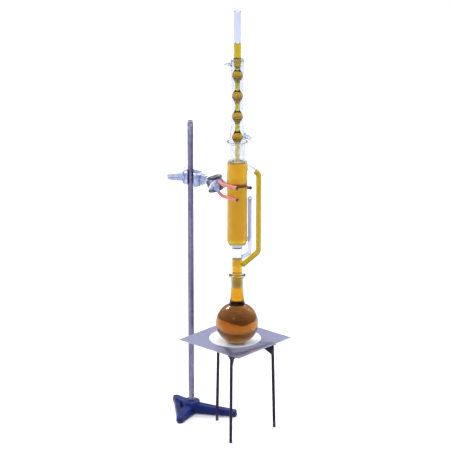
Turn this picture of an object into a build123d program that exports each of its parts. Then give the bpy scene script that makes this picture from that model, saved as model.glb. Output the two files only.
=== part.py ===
"""A soxhlet extractor with its condenser and flask, clamped over a wire gauze on a tripod.

Millimetres, +Z up, bench at Z = 0. X runs from the stand's rod to the glass, square to the rod.
The glass shares one upright axis, the stack, and most places are given from that axis.
"""

import os
from math import cos, radians, sin

from build123d import *

# Where things stand
STACK_X = 67.8  # the stack's axis, from the middle of the whole outline
STACK_Y = -14.7
ROD_TO_STACK = 124.0
CLAMP_Z = 502.0
GAP = 0.3  # between pieces of different bodies that come close but don't touch
RUNNING = 0.05  # radial, shafts and slides in their bores
FILL_GAP = 0.05  # between a liquid and the glass round it
SLEEVE_FIT = 0.02
CUT = 1.0  # how far a cutter runs past the face it opens

# Stand
BENCH_GAP = 4.0  # height of the rubber feet
HUB_D, HUB_H = 34.0, 26.0
ROD_D, ROD_LENGTH, ROD_SEAT = 12.0, 600.0, 18.0
ROD_CHAMFER = 0.8
SIDE_ANGLE, TIP_TAPER = 80.0, 6.0  # degrees, slope of the cast base's sides
ARM_ROOT_W, ARM_TIP_W = 24.0, 16.0
ARM_ROOT_H, ARM_TIP_H = 17.0, 9.0
LONG_ARM, BACK_ARM, FRONT_ARM = 88.0, 64.6, 60.0
LONG_ARM_AT, BACK_ARM_AT, FRONT_ARM_AT = 27.0, 161.0, 290.0  # degrees
TIE_W, TIE_H = 12.0, 8.0
FOOT_D = 13.0

# Boss head
BOSS_BACK, BOSS_FRONT = 13.0, 28.0
BOSS_W, BOSS_H = 26.0, 28.0
BOSS_CHAMFER = 3.0
ROD_SCREW_AT = 222.0  # degrees
SCREW_D, SCREW_BOSS_D = 6.0, 16.0
SCREW_BOSS_END, HANDLE_END = 17.0, 46.0
HANDLE_ROOT_H, HANDLE_TIP_H, HANDLE_T = 15.0, 9.0, 6.0
HANDLE_GROOVE = 2.0
ARM_SCREW_X = 20.0
ARM_SCREW_HEAD_D, ARM_SCREW_HEAD_L = 10.0, 11.0
TOMMY_D, TOMMY_REACH, TOMMY_TAIL, TOMMY_RISE = 3.0, 70.0, 9.0, 9.0
KNOB_D = 5.0

# Clamp arm and head, along X from the rod
BAR_W, BAR_H, BAR_CHAMFER = 11.0, 12.0, 1.5
BAR_START, BAR_END = 16.5, 46.0
SPIGOT_D, SPIGOT_END = 6.0, 57.0
NUT_AF, NUT_T = 15.0, 3.4
HEAD_END = 82.0
HEAD_W, HEAD_H = 11.0, 22.0
PIVOT_X = 66.0
PIN_D, BARREL_D, LUG_D, LUG_T = 4.0, 8.0, 14.0, 4.0

# Jaws
JAW_T, JAW_END = 3.0, 84.0
JAW_INSET = 1.0  # how far a jaw's plate lies inside its pivot
JAW_FLARE_X = 75.0
SCREW_X, SCREW_OFFSET_Z = 78.0, 5.0
SHANK_D, SLOT_BACK, SLOT_FRONT = 4.0, 5.0, 3.4
WASHER_D, WASHER_T = 9.0, 1.2
WING_HUB_D, WING_HUB_L = 8.0, 8.0
WING_SPAN, WING_H, WING_T = 22.0, 7.0, 2.5
WING_TILT = 35.0
FINGER_D, SLEEVE_D, TIP_L = 4.0, 7.0, 2.2
FINGER_BEND_X, FINGER_BEND_R = -17.0, 14.0
FRONT_TIP_X, BACK_TIP_X = 20.0, 13.0
FRONT_RISE = 12.0  # the two front fingers stand this far above and below the clamp's middle
SLEEVE_START = 0.28  # share of a finger's first run that stays bare

# Tripod and gauze
TRIPOD_H = 179.2
TRIPOD_X, TRIPOD_Y, TRIPOD_TURN = 13.5, -4.0, 55.0
TRIPOD_R, FOOT_R = 72.5, 69.5  # corners of the top, and where the legs meet the bench
TOP_BAR_W, TOP_T = 11.0, 3.0
LEG_D, LEG_INSET = 6.0, 7.5
GUSSET_IN, GUSSET_DOWN, GUSSET_T = 24.0, 22.0, 2.5
GAUZE_SIDE, GAUZE_T = 160.0, 1.0
GAUZE_X, GAUZE_Y = -22.6, 19.4
CERAMIC_D, CERAMIC_T = 104.0, 1.7

# Flask
FLASK_D, FLASK_WALL = 85.0, 2.0
NECK_BASE_D, WAIST_D, RIM_D = 34.0, 24.5, 34.0
WAIST_Z, RIM_Z, RIM_T = 304.0, 326.5, 3.5
NECK_CURVE = 0.2  # share of the neck's narrowing left at mid height
RIM_SWELL, RIM_FLARE = 1.5, 8.8  # the neck's swelling below the rim, and how far down it starts
JOINT_TOP_D, JOINT_TIP_D, JOINT_L = 18.8, 16.2, 26.0
JOINT_FIT = 0.1  # radial, between the two halves of a ground joint
BORE_STEP = 2.5  # height of the cone between the neck's bore and its ground joint

# Extractor
STEM_D, STEM_WALL = 21.0, 1.5
STEM_LIQUID_Z = 360.0
STEM_SHOULDER = 5.5  # height of the cone from the ground joint out to the stem
CHAMBER_D, CHAMBER_WALL = 40.0, 1.6
CHAMBER_FLOOR_Z, CHAMBER_BEND_Z, CHAMBER_TOP_Z = 384.0, 397.0, 556.0
FLOOR_T = 6.5
FLOOR_OUT, FLOOR_UP = 0.72, 0.36  # the floor's curve outside: shares of its width and height
HOLLOW_OUT, HOLLOW_UP = 0.7, 0.3  # and inside
SOCKET_Z, SOCKET_D, SOCKET_FOOT_D = 600.0, 40.5, 38.0
SOCKET_STEP, SOCKET_LIP = 3.0, 2.0
CONE_TOP_D, CONE_TIP_D, CONE_L = 34.5, 31.0, 35.0
CHAMBER_LIQUID_Z = 558.5
SIDE_AT = 41.84  # degrees, where the side tubes stand round the chamber
VAPOUR_D, VAPOUR_WALL, VAPOUR_R, VAPOUR_BEND = 11.0, 1.2, 41.8, 9.0
VAPOUR_IN_Z, VAPOUR_UP_Z, VAPOUR_DOWN_Z, VAPOUR_OUT_Z = 346.0, 374.0, 534.0, 548.0
VAPOUR_LIQUID_Z = 541.0
VAPOUR_RUN_IN = 3.0  # how far its bore runs on inside the glass it joins
SIPHON_D, SIPHON_WALL, SIPHON_R, SIPHON_SPREAD = 8.0, 1.1, 25.5, 14.0
SIPHON_IN_Z, SIPHON_RISE_Z, SIPHON_TOP_Z = 395.0, 401.0, 484.0
SIPHON_FALL_Z, SIPHON_OUT_Z, SIPHON_BEND = 374.0, 362.0, 6.0
SIPHON_RUN_IN, SIPHON_RUN_OUT = 5.0, 2.0
THIMBLE_D, THIMBLE_WALL, THIMBLE_Z, THIMBLE_TOP_Z = 32.0, 1.0, 398.0, 520.0

# Condenser
JACKET_D, JACKET_WALL = 25.5, 1.5
JACKET_TOP_Z, JACKET_SHOULDER, FLARE_TOP_Z, FLARE_Z, FLARE_D = 765.0, 3.0, 632.0, 606.5, 33.0
CONE_HEAD_Z, CONE_HEAD_D = 602.0, 33.6
CONE_WALL, SEAL_Z, SEAL_T = 1.6, 592.0, 2.0
NECK_D, BULB_D, TUBE_WALL = 9.5, 21.5, 1.2
BULB_HEIGHTS = (608.0, 649.0, 690.0, 731.0)
TOP_TUBE_D, TOP_Z, DRIP_Z = 14.0, 858.0, 560.5
SHOULDER_LOW_Z, SHOULDER_HIGH_Z = 744.0, 751.0
CONDENSER_LIQUID_Z = 795.0
UPPER_NOZZLE_Z, UPPER_NOZZLE_DROP, UPPER_NOZZLE_ROOT_D, UPPER_NOZZLE_TIP_D = 754.0, 8.0, 12.0, 6.0
LOWER_NOZZLE_Z, LOWER_NOZZLE_DROP, LOWER_NOZZLE_D = 613.0, 28.0, 9.0
LOWER_NOZZLE_ROOT_D = 11.0
NOZZLE_REACH, NOZZLE_BORE_D, HOSE_L = 27.0, 4.0, 8.0

# Places that follow from the sizes
STACK = Vector(STACK_X, STACK_Y, 0)
STACK_AXIS = Axis((STACK_X, STACK_Y, 0), (0, 0, 1))
ROD = STACK - Vector(ROD_TO_STACK, 0, 0)
CLAMP_ROD = ROD + Vector(0, 0, CLAMP_Z)
GAUZE_Z = TRIPOD_H + GAP
CERAMIC_Z = GAUZE_Z + GAUZE_T
FLASK_Z = CERAMIC_Z + CERAMIC_T + GAP + FLASK_D / 2
CHAMBER_R = CHAMBER_D / 2 - CHAMBER_WALL
STEM_R = STEM_D / 2 - STEM_WALL
SHOULDER_Z = SOCKET_Z - CONE_L - SOCKET_STEP
PIVOT_Y = HEAD_W / 2 + GAP + BARREL_D / 2
JAW_Y = PIVOT_Y - JAW_INSET
GRIP_Y = CHAMBER_D / 2 + SLEEVE_D / 2 + GAP


def polar(radius, degrees, z=0.0):
    """A place round the stack's axis."""
    return STACK + Vector(radius * cos(radians(degrees)), radius * sin(radians(degrees)), z)


def heading(degrees, drop=0.0):
    """A unit direction at a plan angle, tipped down by some degrees."""
    flat = cos(radians(drop))
    return Vector(flat * cos(radians(degrees)), flat * sin(radians(degrees)), -sin(radians(drop)))


def upright(origin, degrees):
    """An upright plane whose X leads away from origin at a plan angle and whose Y is up."""
    return Plane(origin=origin, x_dir=heading(degrees), z_dir=heading(degrees - 90))


def turn(points, mode=Mode.ADD):
    """Turn a closed outline of radius and height about the stack's axis."""
    with BuildSketch(upright(STACK, 0)) as outline:
        with BuildLine():
            Polyline(*points, close=True)
        make_face()
    revolve(outline.sketch, axis=STACK_AXIS, mode=mode)


def round_bar(start, direction, length, diameter, mode=Mode.ADD):
    """A round bar from a place along a direction."""
    with BuildSketch(Plane(origin=start, z_dir=direction)) as section:
        Circle(diameter / 2)
    extrude(section.sketch, amount=length, mode=mode)


def tube_along(path, diameter, mode=Mode.ADD):
    """A round section swept along a path from its start."""
    with BuildSketch(Plane(origin=path @ 0, z_dir=path % 0)) as section:
        Circle(diameter / 2)
    sweep(section.sketch, path=path, mode=mode)


def finish(builder, name):
    """Label a piece and write it out."""
    builder.part.label = name
    export_step(builder.part, f"parts/{name}.step")


os.makedirs("parts", exist_ok=True)

# ---------------------------------------------------------------- stand
ARMS = (
    (LONG_ARM_AT, LONG_ARM),
    (BACK_ARM_AT, BACK_ARM),
    (FRONT_ARM_AT, FRONT_ARM),
)
TIPS = [ROD + heading(angle) * length for angle, length in ARMS]

with BuildPart() as stand_base:
    with BuildSketch(Plane.XY.offset(BENCH_GAP)):
        with Locations(ROD):
            Circle(HUB_D / 2)
    extrude(amount=HUB_H - BENCH_GAP)
    for (angle, length), tip in zip(ARMS, TIPS):
        for place, width, height in (
            (ROD + heading(angle) * HUB_D / 4, ARM_ROOT_W, ARM_ROOT_H),
            (tip, ARM_TIP_W, ARM_TIP_H),
        ):
            section = Plane(
                origin=place + Vector(0, 0, BENCH_GAP), x_dir=heading(angle + 90), z_dir=heading(angle)
            )
            with BuildSketch(section):
                Trapezoid(width, height, SIDE_ANGLE, align=(Align.CENTER, Align.MIN))
        loft()
        with BuildSketch(Plane.XY.offset(BENCH_GAP)):
            with Locations(tip):
                Circle(ARM_TIP_W / 2)
        extrude(amount=ARM_TIP_H, taper=TIP_TAPER)
    tie = TIPS[2] - TIPS[1]
    tie_start = TIPS[1] + Vector(0, 0, BENCH_GAP)
    with BuildSketch(Plane(origin=tie_start, x_dir=Vector(0, 0, 1).cross(tie), z_dir=tie)):
        Trapezoid(TIE_W, TIE_H, SIDE_ANGLE, align=(Align.CENTER, Align.MIN))
    extrude(amount=tie.length)
    with BuildSketch(Plane.XY.offset(ROD_SEAT)):
        with Locations(ROD):
            Circle(ROD_D / 2 + RUNNING)
    extrude(amount=HUB_H, mode=Mode.SUBTRACT)
finish(stand_base, "stand_base")

with BuildPart() as base_feet:
    with BuildSketch():
        with Locations(*TIPS):
            Circle(FOOT_D / 2)
    extrude(amount=BENCH_GAP)
finish(base_feet, "base_feet")

with BuildPart() as stand_rod:
    with BuildSketch(Plane.XY.offset(ROD_SEAT + GAP)):
        with Locations(ROD):
            Circle(ROD_D / 2)
    extrude(amount=ROD_LENGTH)
    chamfer(stand_rod.edges().group_by(Axis.Z)[-1], ROD_CHAMFER)
finish(stand_rod, "stand_rod")

# ---------------------------------------------------------------- boss head
rod_screw_way = heading(ROD_SCREW_AT)
rod_slot_way = heading(ROD_SCREW_AT + 90)  # the side on which the rod goes into the boss
arm_screw_at = CLAMP_ROD + Vector(ARM_SCREW_X, BAR_W / 2 + GAP, 0)
arm_screw_face = CLAMP_ROD + Vector(ARM_SCREW_X, BOSS_W / 2 + GAP, 0)
bar_bottom = CLAMP_ROD + Vector(BAR_START - GAP, 0, 0)

with BuildPart() as boss_body:
    with BuildSketch(Plane(origin=CLAMP_ROD - Vector(0, 0, BOSS_H / 2))):
        with Locations(((BOSS_FRONT - BOSS_BACK) / 2, 0)):
            Rectangle(BOSS_FRONT + BOSS_BACK, BOSS_W)
    extrude(amount=BOSS_H)
    chamfer(boss_body.edges(), BOSS_CHAMFER)
    round_bar(CLAMP_ROD + rod_screw_way * ROD_D, rod_screw_way, SCREW_BOSS_END - ROD_D, SCREW_BOSS_D)
    round_bar(ROD, Vector(0, 0, 1), CLAMP_Z + BOSS_H, ROD_D + 2 * RUNNING, Mode.SUBTRACT)
    with BuildSketch(Plane(origin=ROD, x_dir=rod_slot_way)):
        with Locations((BOSS_FRONT, 0)):
            Rectangle(2 * BOSS_FRONT, ROD_D + 2 * RUNNING)
    extrude(amount=CLAMP_Z + BOSS_H, mode=Mode.SUBTRACT)
    round_bar(CLAMP_ROD, rod_screw_way, HANDLE_END, SCREW_D + 2 * RUNNING, Mode.SUBTRACT)
    round_bar(arm_screw_at, Vector(0, 1, 0), BOSS_W, SCREW_D + 2 * RUNNING, Mode.SUBTRACT)
    with BuildSketch(Plane(origin=bar_bottom, x_dir=(0, 1, 0), z_dir=(1, 0, 0))):
        Rectangle(BAR_W + 2 * RUNNING, BAR_H + 2 * RUNNING)
    extrude(amount=BOSS_FRONT, mode=Mode.SUBTRACT)
finish(boss_body, "boss_body")

with BuildPart() as boss_rod_screw:
    round_bar(CLAMP_ROD + rod_screw_way * (ROD_D / 2 + GAP), rod_screw_way, HANDLE_END / 2, SCREW_D)
    handle_root = CLAMP_ROD + rod_screw_way * (SCREW_BOSS_END + GAP)
    handle_tip = CLAMP_ROD + rod_screw_way * HANDLE_END
    for place, height in ((handle_root, HANDLE_ROOT_H), (handle_tip, HANDLE_TIP_H)):
        with BuildSketch(Plane(origin=place, x_dir=(0, 0, 1), z_dir=rod_screw_way)):
            Rectangle(height, HANDLE_T)
    loft()
    with BuildSketch(upright(handle_tip, ROD_SCREW_AT)):
        SlotOverall(HANDLE_END, HANDLE_GROOVE)
    extrude(amount=HANDLE_T, both=True, mode=Mode.SUBTRACT)
finish(boss_rod_screw, "boss_rod_screw")

with BuildPart() as boss_arm_screw:
    round_bar(arm_screw_at, Vector(0, 1, 0), BOSS_W / 2, SCREW_D)
    round_bar(arm_screw_face, Vector(0, 1, 0), ARM_SCREW_HEAD_L, ARM_SCREW_HEAD_D)
    tommy_way = Vector(-cos(radians(TOMMY_RISE)), 0, sin(radians(TOMMY_RISE)))
    tommy_at = arm_screw_face + Vector(0, ARM_SCREW_HEAD_L / 2, 0)
    round_bar(tommy_at - tommy_way * TOMMY_TAIL, tommy_way, TOMMY_TAIL + TOMMY_REACH, TOMMY_D)
    with Locations(tommy_at - tommy_way * TOMMY_TAIL, tommy_at + tommy_way * TOMMY_REACH):
        Sphere(KNOB_D / 2)
finish(boss_arm_screw, "boss_arm_screw")

# ---------------------------------------------------------------- clamp arm and head
with BuildPart() as clamp_arm:
    with BuildSketch(Plane(origin=CLAMP_ROD + Vector(BAR_START, 0, 0), x_dir=(0, 1, 0), z_dir=(1, 0, 0))):
        Rectangle(BAR_W, BAR_H)
    extrude(amount=BAR_END - BAR_START)
    chamfer(clamp_arm.edges().filter_by(Axis.X), BAR_CHAMFER)
    round_bar(CLAMP_ROD + Vector(BAR_END, 0, 0), Vector(1, 0, 0), SPIGOT_END - BAR_END, SPIGOT_D)
finish(clamp_arm, "clamp_arm")

with BuildPart() as swivel_nut:
    with BuildSketch(Plane(origin=CLAMP_ROD + Vector(BAR_END, 0, 0), x_dir=(0, 1, 0), z_dir=(1, 0, 0))):
        RegularPolygon(NUT_AF / 2, 6, major_radius=False)
        Circle(SPIGOT_D / 2, mode=Mode.SUBTRACT)
    extrude(amount=NUT_T)
finish(swivel_nut, "swivel_nut")

PIVOTS = [CLAMP_ROD + Vector(PIVOT_X, side * PIVOT_Y, 0) for side in (-1, 1)]
head_start = BAR_END + NUT_T + GAP

with BuildPart() as clamp_head:
    with BuildSketch(Plane(origin=CLAMP_ROD - Vector(0, 0, HEAD_H / 2))):
        with Locations(((head_start + HEAD_END) / 2, 0)):
            Rectangle(HEAD_END - head_start, HEAD_W)
    extrude(amount=HEAD_H)
    chamfer(clamp_head.edges().filter_by(Axis.Y), BAR_CHAMFER)
    for base in (HEAD_H / 2, -HEAD_H / 2 - LUG_T):
        with BuildSketch(Plane(origin=CLAMP_ROD + Vector(PIVOT_X, 0, base), x_dir=(0, 1, 0))):
            SlotCenterToCenter(2 * PIVOT_Y, LUG_D)
        extrude(amount=LUG_T)
    for pivot in PIVOTS:
        round_bar(pivot - Vector(0, 0, HEAD_H), Vector(0, 0, 1), 2 * HEAD_H, PIN_D, Mode.SUBTRACT)
    spigot_start = CLAMP_ROD + Vector(BAR_END, 0, 0)
    spigot_hole = SPIGOT_END - BAR_END + GAP
    round_bar(spigot_start, Vector(1, 0, 0), spigot_hole, SPIGOT_D + 2 * RUNNING, Mode.SUBTRACT)
    for side in (-1, 1):
        thread = CLAMP_ROD + Vector(SCREW_X, -HEAD_W, -side * SCREW_OFFSET_Z)
        round_bar(thread, Vector(0, 1, 0), 2 * HEAD_W, SHANK_D + 2 * RUNNING, Mode.SUBTRACT)
finish(clamp_head, "clamp_head")

with BuildPart() as jaw_pins:
    for pivot in PIVOTS:
        pin_foot = pivot - Vector(0, 0, HEAD_H / 2 + LUG_T)
        round_bar(pin_foot, Vector(0, 0, 1), HEAD_H + 2 * LUG_T, PIN_D)
finish(jaw_pins, "jaw_pins")


def finger_route(side, tip_x, rise, bare=0.0):
    """A finger's centre line on one side of the chamber, less a bare share of its first run."""
    level = CLAMP_Z + rise
    start = ROD + Vector(JAW_END - FINGER_D / 2, side * JAW_Y, level)
    bend = STACK + Vector(FINGER_BEND_X, side * GRIP_Y, level)
    tip = STACK + Vector(tip_x, side * GRIP_Y, level)
    with BuildLine(mode=Mode.PRIVATE) as route:
        FilletPolyline(start + (bend - start) * bare, bend, tip, radius=FINGER_BEND_R)
    return route.wire()


def make_jaw(name, side, tip_x, rises):
    """Write one jaw with its sleeves, end caps, washer and wing screw."""
    outward = Vector(0, side, 0)
    barrel_h = HEAD_H - 2 * GAP
    flare = max(rises) + FINGER_D
    barrel_foot = CLAMP_ROD + Vector(PIVOT_X, side * PIVOT_Y, -barrel_h / 2)
    screw_at = CLAMP_ROD + Vector(SCREW_X, 0, -side * SCREW_OFFSET_Z)
    washer_at = screw_at + outward * (JAW_Y + JAW_T / 2 + GAP)
    hub_at = washer_at + outward * (WASHER_T + RUNNING)

    with BuildPart() as jaw:
        round_bar(barrel_foot, Vector(0, 0, 1), barrel_h, BARREL_D)
        with BuildSketch(upright(CLAMP_ROD + Vector(0, side * JAW_Y, 0), 0)):
            Polygon(
                (PIVOT_X, -barrel_h / 2),
                (JAW_FLARE_X, -barrel_h / 2),
                (JAW_END, -flare),
                (JAW_END, flare),
                (JAW_FLARE_X, barrel_h / 2),
                (PIVOT_X, barrel_h / 2),
                align=None,
            )
        extrude(amount=JAW_T / 2, both=True)
        for rise in rises:
            tube_along(finger_route(side, tip_x, rise), FINGER_D)
        round_bar(barrel_foot, Vector(0, 0, 1), barrel_h, PIN_D + 2 * RUNNING, Mode.SUBTRACT)
        with BuildSketch(upright(screw_at, 0)):
            with Locations(((SLOT_FRONT - SLOT_BACK) / 2, 0)):
                SlotOverall(SLOT_FRONT + SLOT_BACK, SHANK_D + 2 * GAP)
        extrude(amount=HEAD_W, both=True, mode=Mode.SUBTRACT)
    finish(jaw, f"jaw_{name}")

    with BuildPart() as sleeves:
        for rise in rises:
            tube_along(finger_route(side, tip_x, rise, SLEEVE_START), SLEEVE_D)
        for rise in rises:
            bore = FINGER_D + 2 * SLEEVE_FIT
            tube_along(finger_route(side, tip_x, rise, SLEEVE_START), bore, Mode.SUBTRACT)
    finish(sleeves, f"finger_sleeves_{name}")

    with BuildPart() as caps:
        for rise in rises:
            round_bar(finger_route(side, tip_x, rise) @ 1, Vector(1, 0, 0), TIP_L, SLEEVE_D)
        chamfer(caps.edges().group_by(Axis.X)[-1], TIP_L / 3)
    finish(caps, f"finger_caps_{name}")

    with BuildPart() as washer:
        round_bar(washer_at, outward, WASHER_T, WASHER_D)
        round_bar(washer_at, outward, WASHER_T, SHANK_D + 2 * RUNNING, Mode.SUBTRACT)
    finish(washer, f"jaw_washer_{name}")

    with BuildPart() as wing_screw:
        shank_tip = screw_at - outward * (HEAD_W / 2 - CUT)
        round_bar(shank_tip, outward, (hub_at - shank_tip).length, SHANK_D)
        round_bar(hub_at, outward, WING_HUB_L, WING_HUB_D)
        wing_plane = Plane(origin=hub_at + outward * WING_HUB_L, x_dir=(1, 0, 0), z_dir=outward)
        with BuildSketch(wing_plane):
            SlotOverall(WING_SPAN, WING_T, rotation=90 - WING_TILT)
        extrude(amount=WING_H)
    finish(wing_screw, f"wing_screw_{name}")


make_jaw("front", -1, FRONT_TIP_X, (FRONT_RISE, -FRONT_RISE))
make_jaw("back", 1, BACK_TIP_X, (0.0,))

# ---------------------------------------------------------------- tripod and gauze
TRIPOD = STACK + Vector(TRIPOD_X, TRIPOD_Y, 0)
CORNERS = [TRIPOD_TURN + 120 * count for count in range(3)]
UNDER_TOP = TRIPOD_H - TOP_T
LEG_TOP_R = TRIPOD_R - LEG_INSET


def tripod_leg(angle, mode=Mode.ADD):
    """One splayed leg, longer at both ends than it ends up."""
    top = TRIPOD + heading(angle) * LEG_TOP_R + Vector(0, 0, UNDER_TOP)
    along = (TRIPOD + heading(angle) * FOOT_R - top).normalized()
    round_bar(top - along * LEG_D, along, TRIPOD_H + 2 * LEG_D, LEG_D, mode)


with BuildPart() as tripod_top:
    for angle in CORNERS:
        with BuildSketch(upright(TRIPOD, angle)):
            Polygon(
                (LEG_TOP_R - GUSSET_IN, UNDER_TOP),
                (LEG_TOP_R, UNDER_TOP),
                (LEG_TOP_R, UNDER_TOP - GUSSET_DOWN),
                align=None,
            )
        extrude(amount=GUSSET_T / 2, both=True)
    for angle in CORNERS:
        tripod_leg(angle, Mode.SUBTRACT)
    with BuildSketch(Plane.XY.offset(UNDER_TOP)):
        with Locations(TRIPOD):
            RegularPolygon(TRIPOD_R, 3, rotation=TRIPOD_TURN)
            RegularPolygon(TRIPOD_R - 2 * TOP_BAR_W, 3, rotation=TRIPOD_TURN, mode=Mode.SUBTRACT)
    extrude(amount=TOP_T)
finish(tripod_top, "tripod_top")

for number, angle in enumerate(CORNERS, 1):
    with BuildPart() as leg:
        tripod_leg(angle)
        split(bisect_by=Plane.XY, keep=Keep.TOP)
        split(bisect_by=Plane.XY.offset(UNDER_TOP), keep=Keep.BOTTOM)
    finish(leg, f"tripod_leg_{number}")

with BuildPart() as gauze_sheet:
    with BuildSketch(Plane(origin=STACK + Vector(GAUZE_X, GAUZE_Y, GAUZE_Z))):
        Rectangle(GAUZE_SIDE, GAUZE_SIDE)
    extrude(amount=GAUZE_T)
finish(gauze_sheet, "gauze_sheet")

with BuildPart() as ceramic_centre:
    with BuildSketch(Plane(origin=STACK + Vector(GAUZE_X, GAUZE_Y, CERAMIC_Z))):
        Circle(CERAMIC_D / 2)
    extrude(amount=CERAMIC_T)
finish(ceramic_centre, "ceramic_centre")

# ---------------------------------------------------------------- flask
JOINT_TIP_Z = RIM_Z - JOINT_L
FLASK_R = FLASK_D / 2
BORE_R = WAIST_D / 2 - FLASK_WALL
NECK_SPAN_Z = JOINT_TIP_Z - BORE_STEP


def ball_height(radius, across):
    """How far above a ball's centre its side is across from the axis."""
    return (radius**2 - across**2) ** 0.5


def neck_middle(root, root_z, waist):
    """A place half way up the neck's curve, between its root on the ball and its waist."""
    return waist + (root - waist) * NECK_CURVE, (root_z + WAIST_Z) / 2


def flask_inside(inset, mode=Mode.ADD):
    """The flask's hollow up to its ground joint, inset from the glass."""
    ball = FLASK_R - FLASK_WALL - inset
    root = NECK_BASE_D / 2 - FLASK_WALL - inset
    bore = BORE_R - inset
    root_z = FLASK_Z + ball_height(ball, root)
    with BuildSketch(upright(STACK, 0)) as outline:
        with BuildLine():
            ThreePointArc((0, FLASK_Z - ball), (ball, FLASK_Z), (root, root_z))
            ThreePointArc((root, root_z), neck_middle(root, root_z, bore), (bore, NECK_SPAN_Z))
            Polyline((bore, NECK_SPAN_Z), (0, NECK_SPAN_Z), (0, FLASK_Z - ball))
        make_face()
    revolve(outline.sketch, axis=STACK_AXIS, mode=mode)


with BuildPart() as flask:
    root_z = FLASK_Z + ball_height(FLASK_R, NECK_BASE_D / 2)
    waist = WAIST_D / 2
    root = NECK_BASE_D / 2
    with BuildSketch(upright(STACK, 0)):
        with BuildLine():
            ThreePointArc((0, FLASK_Z - FLASK_R), (FLASK_R, FLASK_Z), (root, root_z))
            ThreePointArc((root, root_z), neck_middle(root, root_z, waist), (waist, WAIST_Z))
            Polyline(
                (waist, WAIST_Z),
                (waist + RIM_SWELL, RIM_Z - RIM_FLARE),
                (RIM_D / 2, RIM_Z - RIM_T),
                (RIM_D / 2, RIM_Z),
                (0, RIM_Z),
                (0, FLASK_Z - FLASK_R),
            )
        make_face()
    revolve(axis=STACK_AXIS)
    flask_inside(0, Mode.SUBTRACT)
    turn(
        [
            (0, NECK_SPAN_Z),
            (BORE_R, NECK_SPAN_Z),
            (JOINT_TIP_D / 2 + JOINT_FIT, JOINT_TIP_Z),
            (JOINT_TOP_D / 2 + JOINT_FIT, RIM_Z),
            (0, RIM_Z),
        ],
        Mode.SUBTRACT,
    )
finish(flask, "flask")

with BuildPart() as flask_liquid:
    flask_inside(FILL_GAP)
finish(flask_liquid, "flask_liquid")

# ---------------------------------------------------------------- extractor
STEM_HEAD_Z = RIM_Z + STEM_SHOULDER


def extractor_outside(mode=Mode.ADD):
    """The extractor's outer shape: ground cone, stem, chamber and socket, as one solid."""
    stem, chamber = STEM_D / 2, CHAMBER_D / 2
    floor_h = CHAMBER_BEND_Z - CHAMBER_FLOOR_Z
    with BuildSketch(upright(STACK, 0)) as outline:
        with BuildLine():
            Polyline(
                (0, JOINT_TIP_Z),
                (JOINT_TIP_D / 2, JOINT_TIP_Z),
                (JOINT_TOP_D / 2, RIM_Z),
                (stem, STEM_HEAD_Z),
                (stem, CHAMBER_FLOOR_Z),
            )
            ThreePointArc(
                (stem, CHAMBER_FLOOR_Z),
                (stem + FLOOR_OUT * (chamber - stem), CHAMBER_FLOOR_Z + FLOOR_UP * floor_h),
                (chamber, CHAMBER_BEND_Z),
            )
            Polyline(
                (chamber, CHAMBER_BEND_Z),
                (chamber, CHAMBER_TOP_Z),
                (SOCKET_FOOT_D / 2, SHOULDER_Z),
                (SOCKET_D / 2, SOCKET_Z - SOCKET_LIP),
                (SOCKET_D / 2, SOCKET_Z),
                (0, SOCKET_Z),
                (0, JOINT_TIP_Z),
            )
        make_face()
    revolve(outline.sketch, axis=STACK_AXIS, mode=mode)


def chamber_inside(inset, top, mode=Mode.ADD):
    """The chamber's hollow up to a height below its socket's cone, inset from the glass."""
    radius = CHAMBER_R - inset
    floor, bend = CHAMBER_FLOOR_Z + FLOOR_T + inset, CHAMBER_BEND_Z + 2 * CHAMBER_WALL
    cone_tip = CONE_TIP_D / 2 + JOINT_FIT - inset
    middle = (HOLLOW_OUT * radius, floor + HOLLOW_UP * (bend - floor))
    share = (top - CHAMBER_TOP_Z) / (SHOULDER_Z - CHAMBER_TOP_Z)
    with BuildSketch(upright(STACK, 0)) as outline:
        with BuildLine():
            ThreePointArc((0, floor), middle, (radius, bend))
            Polyline(
                (radius, bend),
                (radius, CHAMBER_TOP_Z),
                (radius + (cone_tip - radius) * share, top),
                (0, top),
                (0, floor),
            )
        make_face()
    revolve(outline.sketch, axis=STACK_AXIS, mode=mode)


def stem_inside(inset, top, mode=Mode.ADD):
    """The stem's hollow from its tip up to a height, inset from the glass."""
    tip = JOINT_TIP_D / 2 - STEM_WALL - inset
    head = JOINT_TOP_D / 2 - STEM_WALL - inset
    radius = STEM_R - inset
    outline = [(0, JOINT_TIP_Z), (tip, JOINT_TIP_Z), (head, RIM_Z), (radius, STEM_HEAD_Z)]
    turn([*outline, (radius, top), (0, top)], mode)


def vapour_route():
    """The vapour tube's centre line, from inside the stem to inside the chamber."""
    slope_in = (VAPOUR_UP_Z - VAPOUR_IN_Z) / (VAPOUR_R - STEM_D / 2)
    slope_out = (VAPOUR_OUT_Z - VAPOUR_DOWN_Z) / (VAPOUR_R - CHAMBER_D / 2)
    inner_in, inner_out = STEM_R - VAPOUR_RUN_IN, CHAMBER_R - VAPOUR_RUN_IN
    with BuildLine(mode=Mode.PRIVATE) as route:
        FilletPolyline(
            polar(inner_in, SIDE_AT, VAPOUR_UP_Z - slope_in * (VAPOUR_R - inner_in)),
            polar(VAPOUR_R, SIDE_AT, VAPOUR_UP_Z),
            polar(VAPOUR_R, SIDE_AT, VAPOUR_DOWN_Z),
            polar(inner_out, SIDE_AT, VAPOUR_DOWN_Z + slope_out * (VAPOUR_R - inner_out)),
            radius=VAPOUR_BEND,
        )
    return route.wire()


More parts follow.
